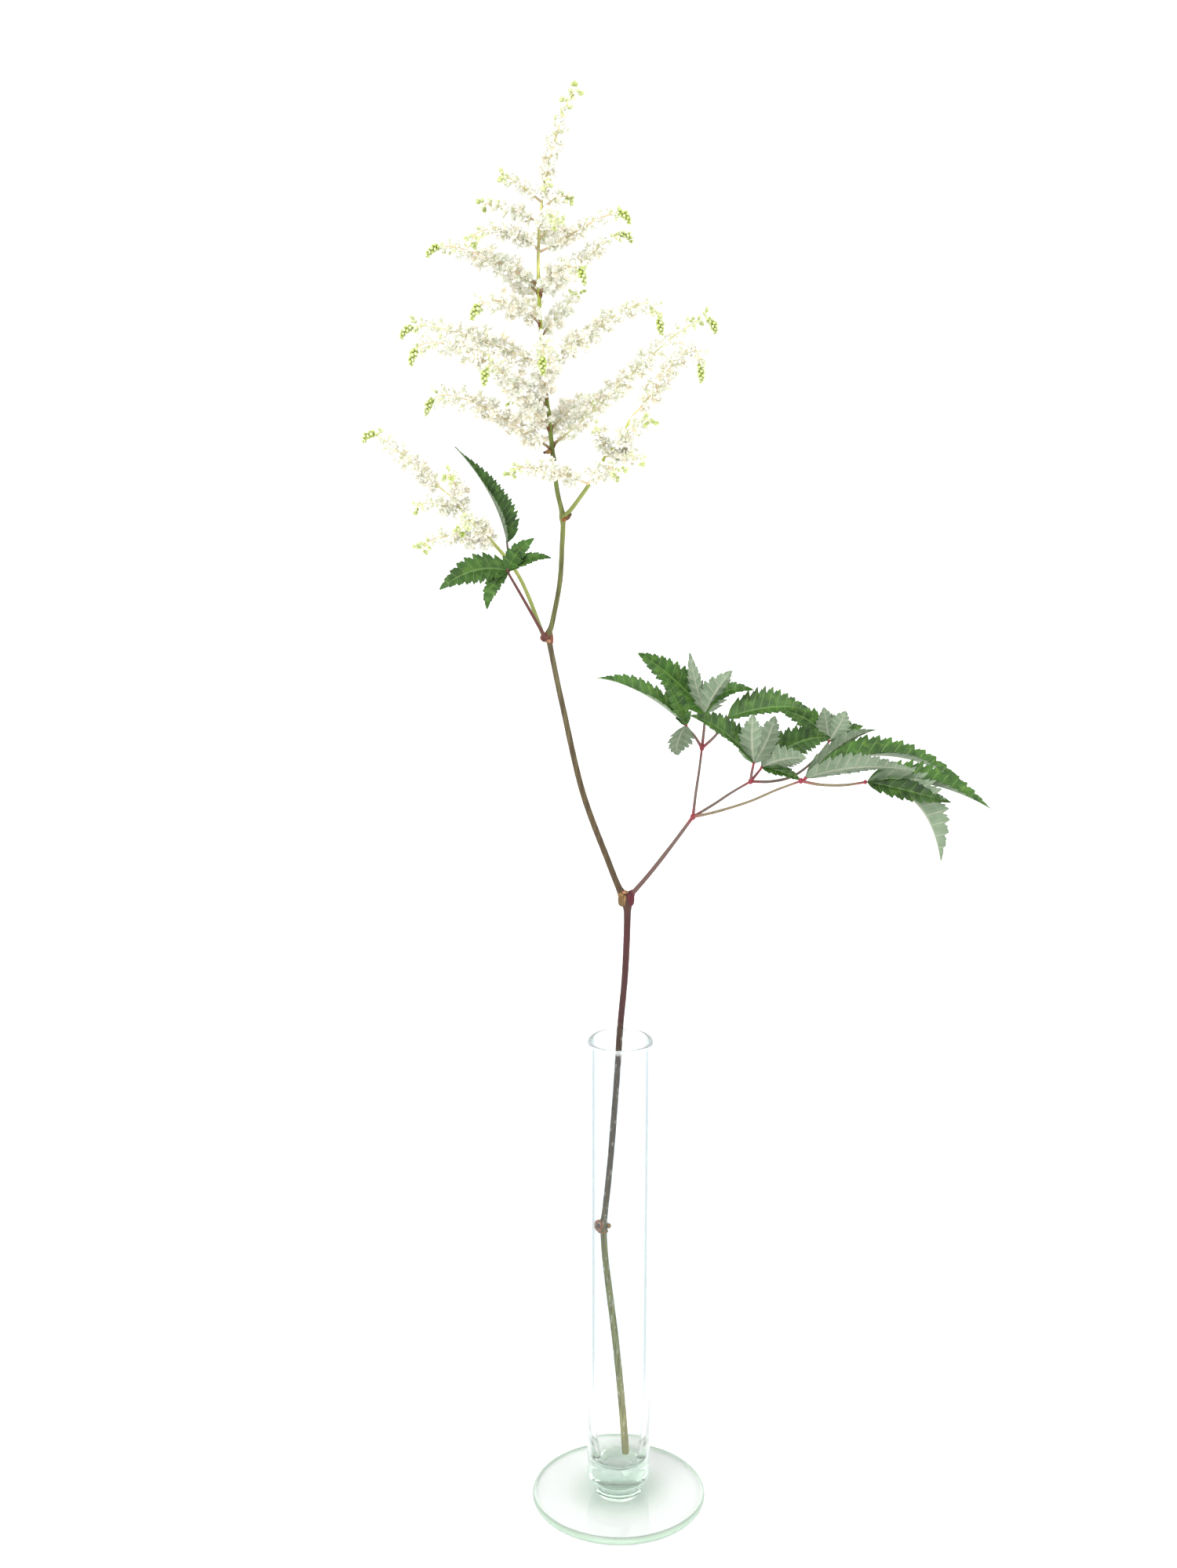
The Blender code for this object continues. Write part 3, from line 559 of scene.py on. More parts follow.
stemLook = {
    # X, Y and Z of points along its middle, and the radius there
    "route": (
        (4.3, 0, 26.9, 2.2), (1.2, 1, 66, 2.1), (-2.5, 2, 104, 2.0), (-7.9, 4, 149, 1.9),
        (-9.2, 4.4, 171, 1.9), (-8.4, 5, 179, 1.8), (-5.4, 7, 209, 1.75), (-1.7, 11, 259, 1.75),
        (0, 13, 286.5, 1.75),
        (2.6, 14, 318, 1.8), (3.7, 14, 351, 1.9), (3.0, 14, 361, 1.9), (-0.6, 14, 367, 1.7),
        (-6.7, 13, 383, 1.65), (-20.7, 11, 423, 1.6), (-31.0, 8.5, 470, 1.5), (-35.6, 6.8, 493, 1.45),
        (-38.2, 6, 509, 1.45), (-36.5, 6, 516, 1.35), (-32.5, 5, 537, 1.3), (-31.2, 4, 556, 1.3),
        (-30.8, 4, 572, 1.3), (-33.8, 4, 587, 1.2), (-36.5, 3, 612, 1.2), (-38.4, 2, 630, 1.1),
        (-40.6, 1, 653, 1.0), (-42.4, 0, 690, 0.9), (-42.0, 0, 714, 0.8), (-39.9, 0, 735, 0.75),
    ),
    # height, extra radius and half length of each swelling
    "joints": ((171, 0.9, 2.6), (361, 1.6, 4.2), (509, 0.8, 2.8), (572, 0.5, 2.4), (601, 0.5, 2.2),
               (625, 0.4, 2.0), (690, 0.45, 1.8)),
    # knobs at the joints: place, half sizes, colour
    "knobs": (
        ((-11.9, 2.8, 171.9), (3.0, 2.7, 3.3), (176, 100, 28)),
        ((-12.2, 0.4, 172.6), (1.3, 0.6, 1.5), (78, 44, 18)),
        ((-9.6, 4.3, 167.6), (3.3, 2.7, 0.8), (160, 112, 44)),
        ((-6.3, 3.6, 171.2), (1.5, 1.4, 1.6), (150, 108, 44)),
        ((1.0, 13.0, 361.2), (2.6, 2.4, 3.9), (108, 86, 50)),
        ((0.1, 12.0, 364.4), (1.9, 1.5, 1.4), (136, 104, 64)),
        ((2.5, 11.7, 366.0), (2.0, 1.3, 1.0), (150, 108, 76)),
        ((2.3, 11.4, 361.4), (0.9, 0.8, 2.9), (150, 116, 74)),
        ((4.9, 13.0, 361.8), (2.8, 2.6, 4.8), (82, 24, 34)),
        ((6.1, 12.9, 364.6), (1.7, 1.5, 2.5), (96, 34, 44)),
        ((-40.2, 4.6, 508.6), (2.6, 2.2, 2.4), (104, 54, 42)),
        ((-38.6, 3.8, 507.0), (1.6, 1.4, 1.1), (164, 118, 88)),
        ((-28.6, 3.0, 572.4), (1.9, 1.6, 1.7), (120, 82, 42)),
        ((-30.0, 2.6, 570.9), (1.6, 1.2, 0.9), (156, 98, 52)),
        ((-27.2, 2.4, 573.6), (1.2, 1.2, 1.2), (88, 66, 34)),
        ((-38.0, 1.6, 605.8), (1.8, 1.2, 1.1), (130, 98, 44)),
        ((-39.9, 1.2, 605.5), (0.8, 0.7, 0.7), (62, 36, 26)),
    ),
    "knobSides": 14,
    "knobLevels": 9,
    "knobLumps": 0.16,
    "step": 1.6,
    "sides": 18,
    "ripple": 0.05,
    "sharpAngle": 50,
    # height and colour from the cut end to the plume's top
    "colours": ((24, (150, 152, 100)), (120, (138, 142, 86)), (165, (126, 124, 68)), (185, (88, 78, 54)),
                (285, (74, 60, 50)), (292, (66, 38, 38)), (350, (72, 32, 35)), (372, (80, 66, 42)),
                (430, (86, 75, 48)), (500, (94, 88, 60)), (518, (96, 100, 54)), (570, (112, 120, 64)),
                (600, (92, 112, 46)), (632, (122, 138, 50)), (688, (174, 186, 74)), (696, (204, 204, 120)),
                (740, (214, 210, 156))),
    "grain": {"colour": (48, 32, 26), "scale": 900, "stretch": 0.06, "range": (0.38, 0.66), "share": 0.7,
              "bump": 0.35, "bumpDepth": 0.4, "roughness": 0.5, "specular": 0.25},
    # pale dried flecks on the part that stands in the vase, fading out between two heights
    "fleckColour": (186, 184, 166),
    "fleckScale": 520,
    "fleckStretch": 0.45,
    "fleckRange": (0.58, 0.7),
    "fleckShare": 0.8,
    "fleckFade": (270, 292),
}


def stemPoint(height):
    rows = stemLook["route"]
    for low, high in zip(rows, rows[1:]):
        if low[2] <= height <= high[2]:
            t = (height - low[2]) / (high[2] - low[2])
            return Vector(low[:3]).lerp(Vector(high[:3]), t), low[3] + (high[3] - low[3]) * t
    return Vector(rows[-1][:3]), rows[-1][3]


def stemSwelling(height):
    return sum(extra * math.exp(-((height - joint) / half) ** 2) for joint, extra, half in stemLook["joints"])


def makeStemMaterial():
    look = stemLook
    material, tree, shader = newMaterial("stemSkin", look["grain"]["roughness"], look["grain"]["specular"])
    darker, spot = addGrain(tree, shader, look["grain"])
    flecks = noiseField(tree, spot, look["fleckScale"], 3, (1, 1, look["fleckStretch"]))
    height = addNode(tree, "ShaderNodeSeparateXYZ")
    tree.links.new(spot, height.inputs["Vector"])
    fadeFrom, fadeTo = look["fleckFade"]
    inVase = remap(tree, height.outputs["Z"], fadeFrom * mm, fadeTo * mm, 1, 0)
    flecked = remap(tree, flecks, *look["fleckRange"], 0, look["fleckShare"])
    dried = mathNode(tree, "MULTIPLY", flecked, inVase)
    colour = mixColours(tree, dried, darker, paint(*look["fleckColour"]))
    tree.links.new(colour, shader.inputs["Base Color"])
    return material


def stemColour(height):
    rows = stemLook["colours"]
    for (low, first), (high, second) in zip(rows, rows[1:]):
        if height <= high:
            return blendPaint(paint(*first), paint(*second), max(0, (height - low) / (high - low)))
    return paint(*rows[-1][1])


def makeStem():
    look = stemLook
    route = smoothRoute([row[:3] for row in look["route"]], look["step"])
    radii = [stemPoint(point.z)[1] + stemSwelling(point.z) for point in route]
    pile = newPile()
    addTube(pile, route, radii, look["sides"], [stemColour(point.z) for point in route], look["ripple"])
    sides, levels = look["knobSides"], look["knobLevels"]
    for place, halfSizes, colour in look["knobs"]:
        addBall(pile, place, halfSizes, sides, levels, paint(*colour), look["knobLumps"])
    pieceFromPile("stem", pile, [makeStemMaterial()], ["main_stem"], look["sharpAngle"])


# Sheaths: papery bracts that wrap the joints

sheathLook = {
    # height, which way it faces in degrees (0 is +X, 90 is to the back), how far round it wraps on each side,
    # how tall it is, how far its tip stands off, colour
    "rows": (
        (506.0, 215, 55, 6.0, 1.4, (150, 104, 76)),
        (505.5, 300, 50, 5.0, 1.0, (110, 56, 44)),
        (570.0, 330, 50, 4.5, 1.4, (146, 96, 60)),
    ),
    # the small bract under each spray that grows from the stem lower than bractBelow
    "bractBelow": 700,
    "bractDrop": 1.6,
    "bractWrap": 46,
    "bractTall": 3.4,
    "bractFlare": 1.5,
    "bractColour": (104, 66, 34),
    "rootColour": (116, 70, 46),
    "rootShare": 0.55,
    "thickness": 0.22,
    # how far its foot stands off the stem, how much it narrows upwards and how crumpled it is
    "clearance": 0.12,
    "narrowing": 0.35,
    "crumple": 0.35,
    "across": 13,
    "upwards": 9,
    "sharpAngle": 60,
    "grain": {"colour": (110, 66, 44), "scale": 1400, "stretch": 0.12, "range": (0.4, 0.7), "share": 0.5,
              "bump": 0.5, "bumpDepth": 0.3, "roughness": 0.5, "specular": 0.35},
}


def addSheath(pile, height, facing, wrap, tall, flare, colour):
    look = sheathLook
    rootPaint, tipPaint = paint(*look["rootColour"]), paint(*colour)
    centre, radius = stemPoint(height)
    above, _ = stemPoint(height + tall)
    axis = (above - centre).normalized()
    out = Vector((math.cos(math.radians(facing)), math.sin(math.radians(facing)), 0))
    out = (out - axis * out.dot(axis)).normalized()
    side = axis.cross(out)
    radius += stemSwelling(height) + look["clearance"]
    grid = np.zeros((look["upwards"], look["across"], 3))
    shades = []
    for row in range(grid.shape[0]):
        rise = row / (grid.shape[0] - 1)
        for column in range(grid.shape[1]):
            sway = column / (grid.shape[1] - 1) * 2 - 1
            turn = math.radians(wrap) * sway * (1 - look["narrowing"] * rise)
            crest = max(0.25, math.cos(sway * math.pi / 2) ** 0.8)
            reach = radius + flare * rise ** 1.6 * crest
            rough = noise.noise(Vector((sway * 3, rise * 4, height))) * look["crumple"] * rise
            point = centre + (out * math.cos(turn) + side * math.sin(turn)) * (reach + rough)
            grid[row, column] = point + axis * (tall * rise * crest)
            shades.append(blendPaint(tipPaint, rootPaint, look["rootShare"] * (1 - rise) ** 2))
    addSheet(pile, grid, look["thickness"], np.array(shades))


def makeSheaths():
    pile = newPile()
    look = sheathLook
    for row in look["rows"]:
        addSheath(pile, *row)
    for height, tip, *_ in stemSprays:
        if height < look["bractBelow"]:
            centre, _ = stemPoint(height)
            facing = math.degrees(math.atan2(tip[1] - centre.y, tip[0] - centre.x))
            addSheath(pile, height - look["bractDrop"], facing, look["bractWrap"], look["bractTall"],
                      look["bractFlare"], look["bractColour"])
    material = makeGrainMaterial("paperySheath", look["grain"])
    pieceFromPile("jointSheaths", pile, [material], [], look["sharpAngle"])


# Stalks of the two leaves and of the two flower branches

stalkLook = {
    "leftBranch": ((-40.6, 6, 509.0), (-41.9, 6, 511.3), (-49.4, 5, 532), (-56.1, 3, 545.5), (-65.5, 0, 558),
                   (-77.2, -4, 570.7), (-87.5, -8, 584.5)),
    "rightBranch": ((-30.2, 3.4, 571.9), (-28.6, 2.1, 574.1), (-25.3, 0, 578), (-14.9, -6, 593.5),
                    (-9.4, -9, 604), (-1.1, -12, 615), (4.3, -14, 625.5)),
    "branchRadii": (1.15, 0.8),
    "smallLeaf": ((-39.6, 3.6, 508.6), (-40.8, 2.6, 510.5), (-52.5, -3.6, 533.0), (-58.5, -7.6, 544.6),
                  (-58.8, -7.9, 546.0)),
    "smallLeafRadii": (0.95, 0.62),
    # the short stalk of its tall leaflet
    "tallLeaflet": ((-58.8, -7.9, 546.0), (-58.5, -7.9, 551.1), (-58.7, -7.9, 556.2), (-59.3, -7.9, 561.8)),
    "tallLeafletRadii": (0.75, 0.5),
    "bigLeaf": ((4.2, 13.7, 362.4), (5.9, 13.3, 364.3), (15, 10, 376.5), (26.2, 6, 393), (38.1, 0, 412.2)),
    "bigLeafRadii": (1.35, 0.9),
    "forks": (
        ((38.1, 0, 412.2), (39.6, 0.8, 426), (41.2, 2.4, 437), (42.6, 4, 449)),
        ((42.6, 4, 449), (38.5, 2.6, 456), (34.5, 0.8, 460.8), (33.9, 0.4, 462.2)),
        ((42.6, 4, 449), (43.6, 6, 458), (44.2, 7.6, 465.6), (44.35, 8.0, 466.9)),
        ((42.6, 4, 449), (49.6, 3.4, 456), (55.2, 2.4, 464.6), (55.9, 2.3, 465.8)),
        ((38.1, 0, 412.2), (48.4, -4, 420), (57.5, -9, 428), (67.4, -14, 435.7)),
        ((67.4, -14, 435.7), (67.6, -17, 441), (68.2, -19.6, 446.0), (68.35, -20.1, 447.3)),
        ((67.4, -14, 435.7), (70.2, -14.2, 439.4), (72.4, -14.4, 442.4), (73.05, -14.5, 443.6)),
        ((67.4, -14, 435.7), (79, -10, 434.6), (91, -2, 435.4), (102, 7, 441), (110.4, 13, 449.4),
         (111.0, 13.5, 450.6)),
        ((38.1, 0, 412.2), (50, -10, 418), (66.6, -19, 426.2), (80, -24.5, 434), (92.4, -27, 439.6),
         (94.6, -28.2, 441.4)),
        ((92.4, -27, 439.6), (102, -30, 438.4), (114, -31, 438.4), (125.0, -31, 440.0),
         (126.3, -31.2, 440.4)),
    ),
    "forkRadii": (0.82, 0.6),
    # forks that are paler than the rest, counted from 0
    "paleForks": (8, 9),
    # place and radius of the swelling at each fork
    "knuckles": (((38.1, 0, 412.2), 1.55), ((42.6, 4, 449), 1.25), ((67.4, -14, 435.7), 1.35),
                 ((92.4, -27, 439.6), 1.35), ((125.2, -31, 440.0), 1.0), ((33.9, 0.4, 462.2), 0.85),
                 ((44.35, 8.0, 466.9), 0.8), ((55.9, 2.3, 465.8), 0.8), ((68.35, -20.1, 447.3), 0.8),
                 ((73.05, -14.5, 443.6), 0.8), ((111.0, 13.5, 450.6), 0.8), ((94.6, -28.2, 441.4), 0.9)),
    "knuckleTall": 1.15,
    "knuckleLumps": 0.22,
    "smallKnuckle": (1.15, 1.15, 1.4),
    "smallKnuckleLumps": 0.15,
    "sides": 12,
    "step": 1.5,
    "ripple": 0.08,
    "sharpAngle": 50,
    "mauve": (98, 84, 76),
    "plum": (132, 40, 56),
    "pale": (118, 108, 84),
    "maroon": (84, 46, 42),
    "branchGreen": (104, 114, 58),
    "branchPale": (196, 200, 112),
    "blushReach": 7.0,
    # how far the big leaf's stalk has already turned from maroon to mauve where it leaves the stem
    "trunkShade": 0.45,
    "grain": {"scale": 700, "stretch": 0.25, "range": (0.42, 0.7), "share": 0.4,
              "bump": 0.3, "bumpDepth": 0.3, "specular": 0.25},
    "branchGrain": {"colour": (96, 116, 54), "roughness": 0.45},
    "leafGrain": {"colour": (86, 58, 54), "roughness": 0.4},
}


def taper(count, start, end):
    return [start + (end - start) * index / (count - 1) for index in range(count)]


def blushed(point, base):
    # stalks turn plum near each knuckle
    look = stalkLook
    nearest = min((point - Vector(place)).length for place, _ in look["knuckles"])
    return blendPaint(paint(*look["plum"]), base, min(1, nearest / look["blushReach"]))


def addStalk(pile, points, radii, startPaint, endPaint, blush=False):
    # a tapering stalk that turns from one colour to another, and gives back its last point
    look = stalkLook
    route = smoothRoute(points, look["step"])
    shades = [blendPaint(startPaint, endPaint, share) for share in taper(len(route), 0, 1)]
    if blush:
        shades = [blushed(point, shade) for point, shade in zip(route, shades)]
    addTube(pile, route, taper(len(route), *radii), look["sides"], shades, look["ripple"])
    return route[-1]


def makeFlowerBranches():
    look = stalkLook
    material = makeGrainMaterial("branchSkin", {**look["grain"], **look["branchGrain"]})
    for side in ("left", "right"):
        pile = newPile()
        addStalk(pile, look[side + "Branch"], look["branchRadii"], paint(*look["branchGreen"]),
                 paint(*look["branchPale"]))
        pieceFromPile(side + "FlowerBranch", pile, [material], [side + "_flower_branch"],
                      look["sharpAngle"])


def makeLeafStalks():
    look = stalkLook
    material = makeGrainMaterial("leafStalkSkin", {**look["grain"], **look["leafGrain"]})
    maroon, mauve, pale, plum = (paint(*look[name]) for name in ("maroon", "mauve", "pale", "plum"))
    pile = newPile()
    end = addStalk(pile, look["smallLeaf"], look["smallLeafRadii"], maroon, maroon)
    addBall(pile, end, look["smallKnuckle"], 12, 8, maroon, look["smallKnuckleLumps"])
    addStalk(pile, look["tallLeaflet"], look["tallLeafletRadii"], mauve, mauve)
    pieceFromPile("smallLeafStalk", pile, [material], ["small_leaf_stalk"], look["sharpAngle"])
    pile = newPile()
    trunk = blendPaint(maroon, mauve, look["trunkShade"])
    addStalk(pile, look["bigLeaf"], look["bigLeafRadii"], trunk, mauve, True)
    for index, points in enumerate(look["forks"]):
        base = pale if index in look["paleForks"] else mauve
        addStalk(pile, points, look["forkRadii"], base, base, True)
    for place, radius in look["knuckles"]:
        sizes = (radius, radius, radius * look["knuckleTall"])
        addBall(pile, place, sizes, 14, 9, plum, look["knuckleLumps"])
    pieceFromPile("bigLeafStalk", pile, [material], ["big_leaf_stalk"], look["sharpAngle"])


# Leaflets: double-toothed blades with a rib, side veins and a quilted surface

leafletLook = {
    "thickness": 0.32,
    "rootWidth": 0.05,
    "widest": 0.75,
    "fullness": 0.85,
    "toothDepth": 0.27,
    "toothRound": 1.7,
    "smallToothDepth": 0.11,
    "veinLean": 0.16,
    "quilt": 0.5,
    "ribDepth": 0.3,
    "wave": 0.5,
    "halfColumns": 7,
    # where along each tooth the rows of points stand: its notch, its two small teeth and its tip
    "toothRows": (0.02, 0.24, 0.48, 0.52, 0.78, 0.99),
    "sharpAngle": 60,
    # two ground colours, painted sunlit patches (painted light on random spots) and veins, on each side
    "upperColours": ((26, 58, 14), (58, 100, 30), (100, 140, 48), (108, 142, 74)),
    "upperRoughness": 0.5,
    "underColours": ((104, 126, 98), (126, 146, 118), (146, 160, 140), (172, 176, 154)),
    "underRoughness": 0.7,
    "specular": 0.32,
    "glow": 0.14,
    "netScale": 1300,
    "patchScale": 110,
    "glintScale": 260,
    "veinShare": 0.7,
    "bump": -0.6,
    "bumpDepth": 0.4,
}

# Leaflets of a group grow from one point, given first.
# Each: tip, how far its middle stands off the straight line to the tip, width, where its upper face points
# in degrees (0 is up, 90 is to the front, -90 to the back), teeth on each side, how deeply it is folded.
# Some have more: tone is how light it is, aside turns its face to +X, bare is its stalk's share of it, and
# widest and fullness set its shape.
leafletGroups = {
    "big_leaf_leaflets_1": (
        (33.9, 0.4, 462.2),
        (
            ((-12.8, -8, 489.8), (0, 0, 5), 14, 20, 10, 0.7, {}),
            ((21, -3, 488.8), (1, 0, 1), 11, 60, 7, 0.45, {}),
            ((29.0, -12, 449.5), (-2, -2, 0), 15, -100, 5, 0.4, {"tone": 0.62, "aside": 0.5}),
        ),
    ),
    "big_leaf_leaflets_2": (
        (44.35, 8.0, 466.9),
        (
            ((8.5, 8, 499.4), (0, 1, 3), 18, 60, 10, 0.5, {}),
            ((35.5, 4, 500.5), (-1, -2, 0), 9, -95, 7, 0.5, {"tone": 0.9}),
            ((57.5, 2, 491.5), (-2, -3, 0), 17, -80, 6, 0.45, {"tone": 0.95}),
            ((68.7, -2, 482), (-3, 0, 5), 12, 42, 7, 0.5, {"tone": 0.85}),
        ),
    ),
    "big_leaf_leaflets_3": (
        (55.9, 2.3, 465.8),
        (((97.3, -8, 473.3), (0, 0, 3), 21, 34, 10, 0.6, {}),),
    ),
    "big_leaf_leaflets_4": (
        (68.35, -20.1, 447.3),
        (
            ((34.3, -30, 475), (1, 0, 4), 17, 34, 10, 0.55, {"tone": 0.8}),
            ((67.0, -27, 475.0), (-1, -2, 0), 16, -85, 6, 0.4, {"tone": 0.95}),
            ((78.5, -25, 473.5), (1, -2, 0), 17, -70, 6, 0.45, {"tone": 0.7}),
        ),
    ),
    "big_leaf_leaflets_5": (
        (73.05, -14.5, 443.6),
        (
            ((94.5, -30, 452.5), (0, 0, 2), 18, -75, 7, 0.35, {"tone": 0.85}),
            ((93, -20, 438.2), (0, 0, 1), 9, 40, 6, 0.35, {}),
            ((109.3, -8, 457.8), (0, 0, 5), 19, 60, 10, 0.35, {"tone": 0.8}),
        ),
    ),
    "big_leaf_leaflets_6": (
        (111.0, 13.5, 450.6),
        (
            ((84, 20, 466), (2, 0, 3), 15, 60, 7, 0.3, {}),
            ((107.0, 9, 470), (0, -2, 0), 13, -95, 7, 0.35, {"tone": 0.8}),
            ((118.8, 8, 468), (0, -2, 0), 17, -80, 7, 0.4, {}),
            ((129.3, 18, 457.5), (0, 0, 1), 11, 50, 6, 0.35, {}),
        ),
    ),
    "big_leaf_leaflets_7": (
        (94.6, -28.2, 441.4),
        (
            ((148, -48, 450.6), (0, 0, 4), 17, -55, 11, 0.4, {"tone": 0.78}),
            ((181, -12, 432.2), (0, 6, 13), 20, 14, 13, 0.75, {}),
            ((131.9, -12, 463), (0, 4, 4), 11, -60, 7, 0.3, {"tone": 0.8}),
        ),
    ),
    "big_leaf_leaflets_8": (
        (126.3, -31.2, 440.4),
        (
            ((163.8, -44, 401.6), (6, -2, 10), 25, -25, 11, 1.1, {"aside": 1.2, "tone": 0.9}),
            ((189.4, -36, 427.4), (0, 0, 6), 19, 16, 12, 0.85, {}),
            ((167.0, -48, 434.0), (0, -2, 1), 13, 60, 8, 0.3, {"tone": 0.62}),
        ),
    ),
    "small_leaf_leaflets": (
        (-58.8, -7.9, 546.0),
        (
            ((-85, -8, 609.5), (8, 0, 0), 13, 80, 17, 1.15,
             {"bare": 0.23, "aside": 1.55, "tone": 0.8, "widest": 0.56, "fullness": 1.15}),
            ((-36.5, -18, 554.5), (0, 0, 3), 7, 60, 6, 0.4, {"tone": 0.8}),
            ((-45.2, -14, 563.8), (-2, 0, 1), 11, 75, 5, 0.4, {}),
            ((-93.5, -16, 538), (0, 0, 5), 17, 65, 8, 0.3, {"tone": 0.8}),
            ((-69, -22, 529), (-3, 0, 1), 9, 65, 5, 0.3, {"tone": 0.8}),
        ),
    ),
}


def makeLeafMaterial(name, colours, roughness):
    look = leafletLook
    deep, fresh, sunlit, vein = (paint(*colour) for colour in colours)
    material, tree, shader = newMaterial(name, roughness, look["specular"])
    parts = placeParts(tree)
    tone, spot = tintAndSpot(tree)
    # side veins are where the first number is whole, and the rib is where the second is nought
    wrapped = mathNode(tree, "FRACT", mathNode(tree, "ADD", parts["X"], 0.5))
    away = mathNode(tree, "ABSOLUTE", mathNode(tree, "SUBTRACT", wrapped, 0.5))
    sideVeins = remap(tree, away, 0.01, 0.09, 0.8, 0, True)
    halfVein = mathNode(tree, "ABSOLUTE", mathNode(tree, "SUBTRACT", away, 0.26))
    fineVeins = remap(tree, halfVein, 0.01, 0.05, 0.3, 0, True)
    # veins fade before they reach the teeth
    veins = mathNode(tree, "MULTIPLY", mathNode(tree, "MAXIMUM", sideVeins, fineVeins),
                     remap(tree, parts["Y"], 0.55, 0.92, 1, 0.15))
    rib = remap(tree, parts["Y"], 0.03, 0.1, 1, 0, True)
    net = addNode(tree, "ShaderNodeTexVoronoi", feature="DISTANCE_TO_EDGE")
    net.inputs["Scale"].default_value = look["netScale"]
    tree.links.new(spot, net.inputs["Vector"])
    netLines = remap(tree, net.outputs["Distance"], 0.02, 0.2, 0.14, 0, True)
    lines = mathNode(tree, "MAXIMUM", mathNode(tree, "MAXIMUM", veins, rib), netLines)
    patches = noiseField(tree, spot, look["patchScale"], 4)
    glints = noiseField(tree, spot, look["glintScale"], 3)
    ground = mixColours(tree, remap(tree, patches, 0.35, 0.65), deep, fresh)
    # painted light: the sunlit colour is mixed in on random spots where the glint noise is high
    ground = mixColours(tree, remap(tree, glints, 0.5, 0.75, 0, 0.55), ground, sunlit)
    colour = mixColours(tree, mathNode(tree, "MULTIPLY", lines, look["veinShare"]), ground, vein)
    colour = mixColours(tree, 1.0, colour, tone, "MULTIPLY")
    tree.links.new(colour, shader.inputs["Base Color"])
    addBump(tree, shader, lines, look["bump"], look["bumpDepth"])
    letLightThrough(tree, shader, colour, look["glow"])
    return material


def leafletGrid(draw, root, tip, bow, width, facing, teeth, fold, more):
    # rows of points from the root to the tip, and columns from one edge over the rib to the other
    look = {**leafletLook, "bare": 0, "aside": 0, **more}
    root, tip, bow = Vector(root), Vector(tip), Vector(bow)
    reach = tip - root
    forward = reach.normalized()
    turn = math.radians(facing)
    face = up * math.cos(turn) + front * math.sin(turn) + Vector((look["aside"], 0, 0))
    face = (face - forward * face.dot(forward)).normalized()
    phase = draw.uniform(0, 6)
    depths = {sign: [draw.uniform(0.75, 1.25) for _ in range(teeth + 1)] for sign in (-1, 1)}
    half = look["halfColumns"]
    stations = [(tooth + part) / teeth for tooth in range(teeth) for part in look["toothRows"]]
    grid = np.zeros((len(stations), 2 * half + 1, 3))
    places = []
    for row, u in enumerate(stations):
        part = u * teeth % 1
        tooth = int(u * teeth)
        for column in range(2 * half + 1):
            v = (column - half) / half
            sign, share = (1 if v >= 0 else -1), abs(v)
            t = u + look["veinLean"] * share * (1 - u) * (1 - (1 - u) ** 6)
            notch = look["toothDepth"] * depths[sign][tooth] * (1 - part) ** look["toothRound"]
            small = look["smallToothDepth"] * (1 - part * 2 % 1)
            cut = 1 - (notch + small) * share ** 2 * min(1, u * 8)
            envelope = max(look["rootWidth"], math.sin(math.pi * t ** look["widest"]) ** look["fullness"])
            if t > 0.985:
                envelope *= 0.4
            out = width / 2 * envelope * cut * share
            middle = look["bare"] + (1 - look["bare"]) * t
            centre = root + reach * middle + bow * (4 * middle * (1 - middle))
            side = (reach + bow * (4 - 8 * middle)).cross(face).normalized()
            lift = out * fold + look["wave"] * share ** 2 * math.sin(u * 9 + phase + sign) * min(1, u * 3)
            vein = abs((part + 0.5) % 1 - 0.5) * 2
            lift += (look["quilt"] * (vein - 0.5) * math.sin(math.pi * min(share, 0.999))
                     * min(1, envelope * 2))
            lift -= look["ribDepth"] * math.exp(-(share / 0.09) ** 2) * envelope
            grid[row, column] = centre + side * (sign * out) + face * lift
            places.append((u * teeth, share, phase))
    return grid, np.array(places)


def makeLeaflets():
    look = leafletLook
    upper = makeLeafMaterial("leafUpper", look["upperColours"], look["upperRoughness"])
    under = makeLeafMaterial("leafUnder", look["underColours"], look["underRoughness"])
    for index, (node, (root, rows)) in enumerate(leafletGroups.items()):
        draw = random.Random(plantSeed * 100 + index)
        pile = newPile()
        for tip, bow, width, facing, teeth, fold, more in rows:
            grid, places = leafletGrid(draw, root, tip, bow, width, facing, teeth, fold, more)
            tone = more.get("tone", 1)
            addSheet(pile, grid, look["thickness"], (tone, tone, tone, 1), places, True)
        name = "smallLeafLeaflets" if node.startswith("small") else "bigLeafLeaflets" + node[-1]
        pieceFromPile(name, pile, [upper, under], [node], look["sharpAngle"])


# Florets and buds

floretLook = {
    "petals": 5,
    "petalLength": 2.55,
    "petalWidth": 1.75,
    "petalThickness": 0.14,
    "petalCurl": 0.5,
    # how far along each petal its rings of points stand, and how wide they are
    "petalRings": ((0.38, 0.62), (0.74, 1.0), (0.93, 0.7)),
    "stamens": 4,
    "stamenLength": 2.1,
    "antherRadius": 0.2,
    "calyxRadius": 0.62,
    "calyxHeight": 0.6,
    # stamens show from this openness on
    "stamensFrom": 0.4,
    # how open each kind of floret is, for the open ones and for those that are nearly shut
    "openKinds": (0.6, 0.75, 0.9, 1.0, 1.1),
    "shutKinds": (0.1, 0.25, 0.35),
    "budRadii": (0.82, 0.82, 1.0),
    "budRise": 0.85,
    "petalColour": (250, 249, 243),
    "petalRoot": (241, 243, 224),
    "stamenColour": (252, 250, 242),
    "antherColour": (246, 236, 214),
    "calyxColour": (234, 240, 204),
    "petalRoughness": 0.55,
    "petalGlow": 0.27,
    "budRoughness": 0.4,
    "budGlow": 0.12,
}


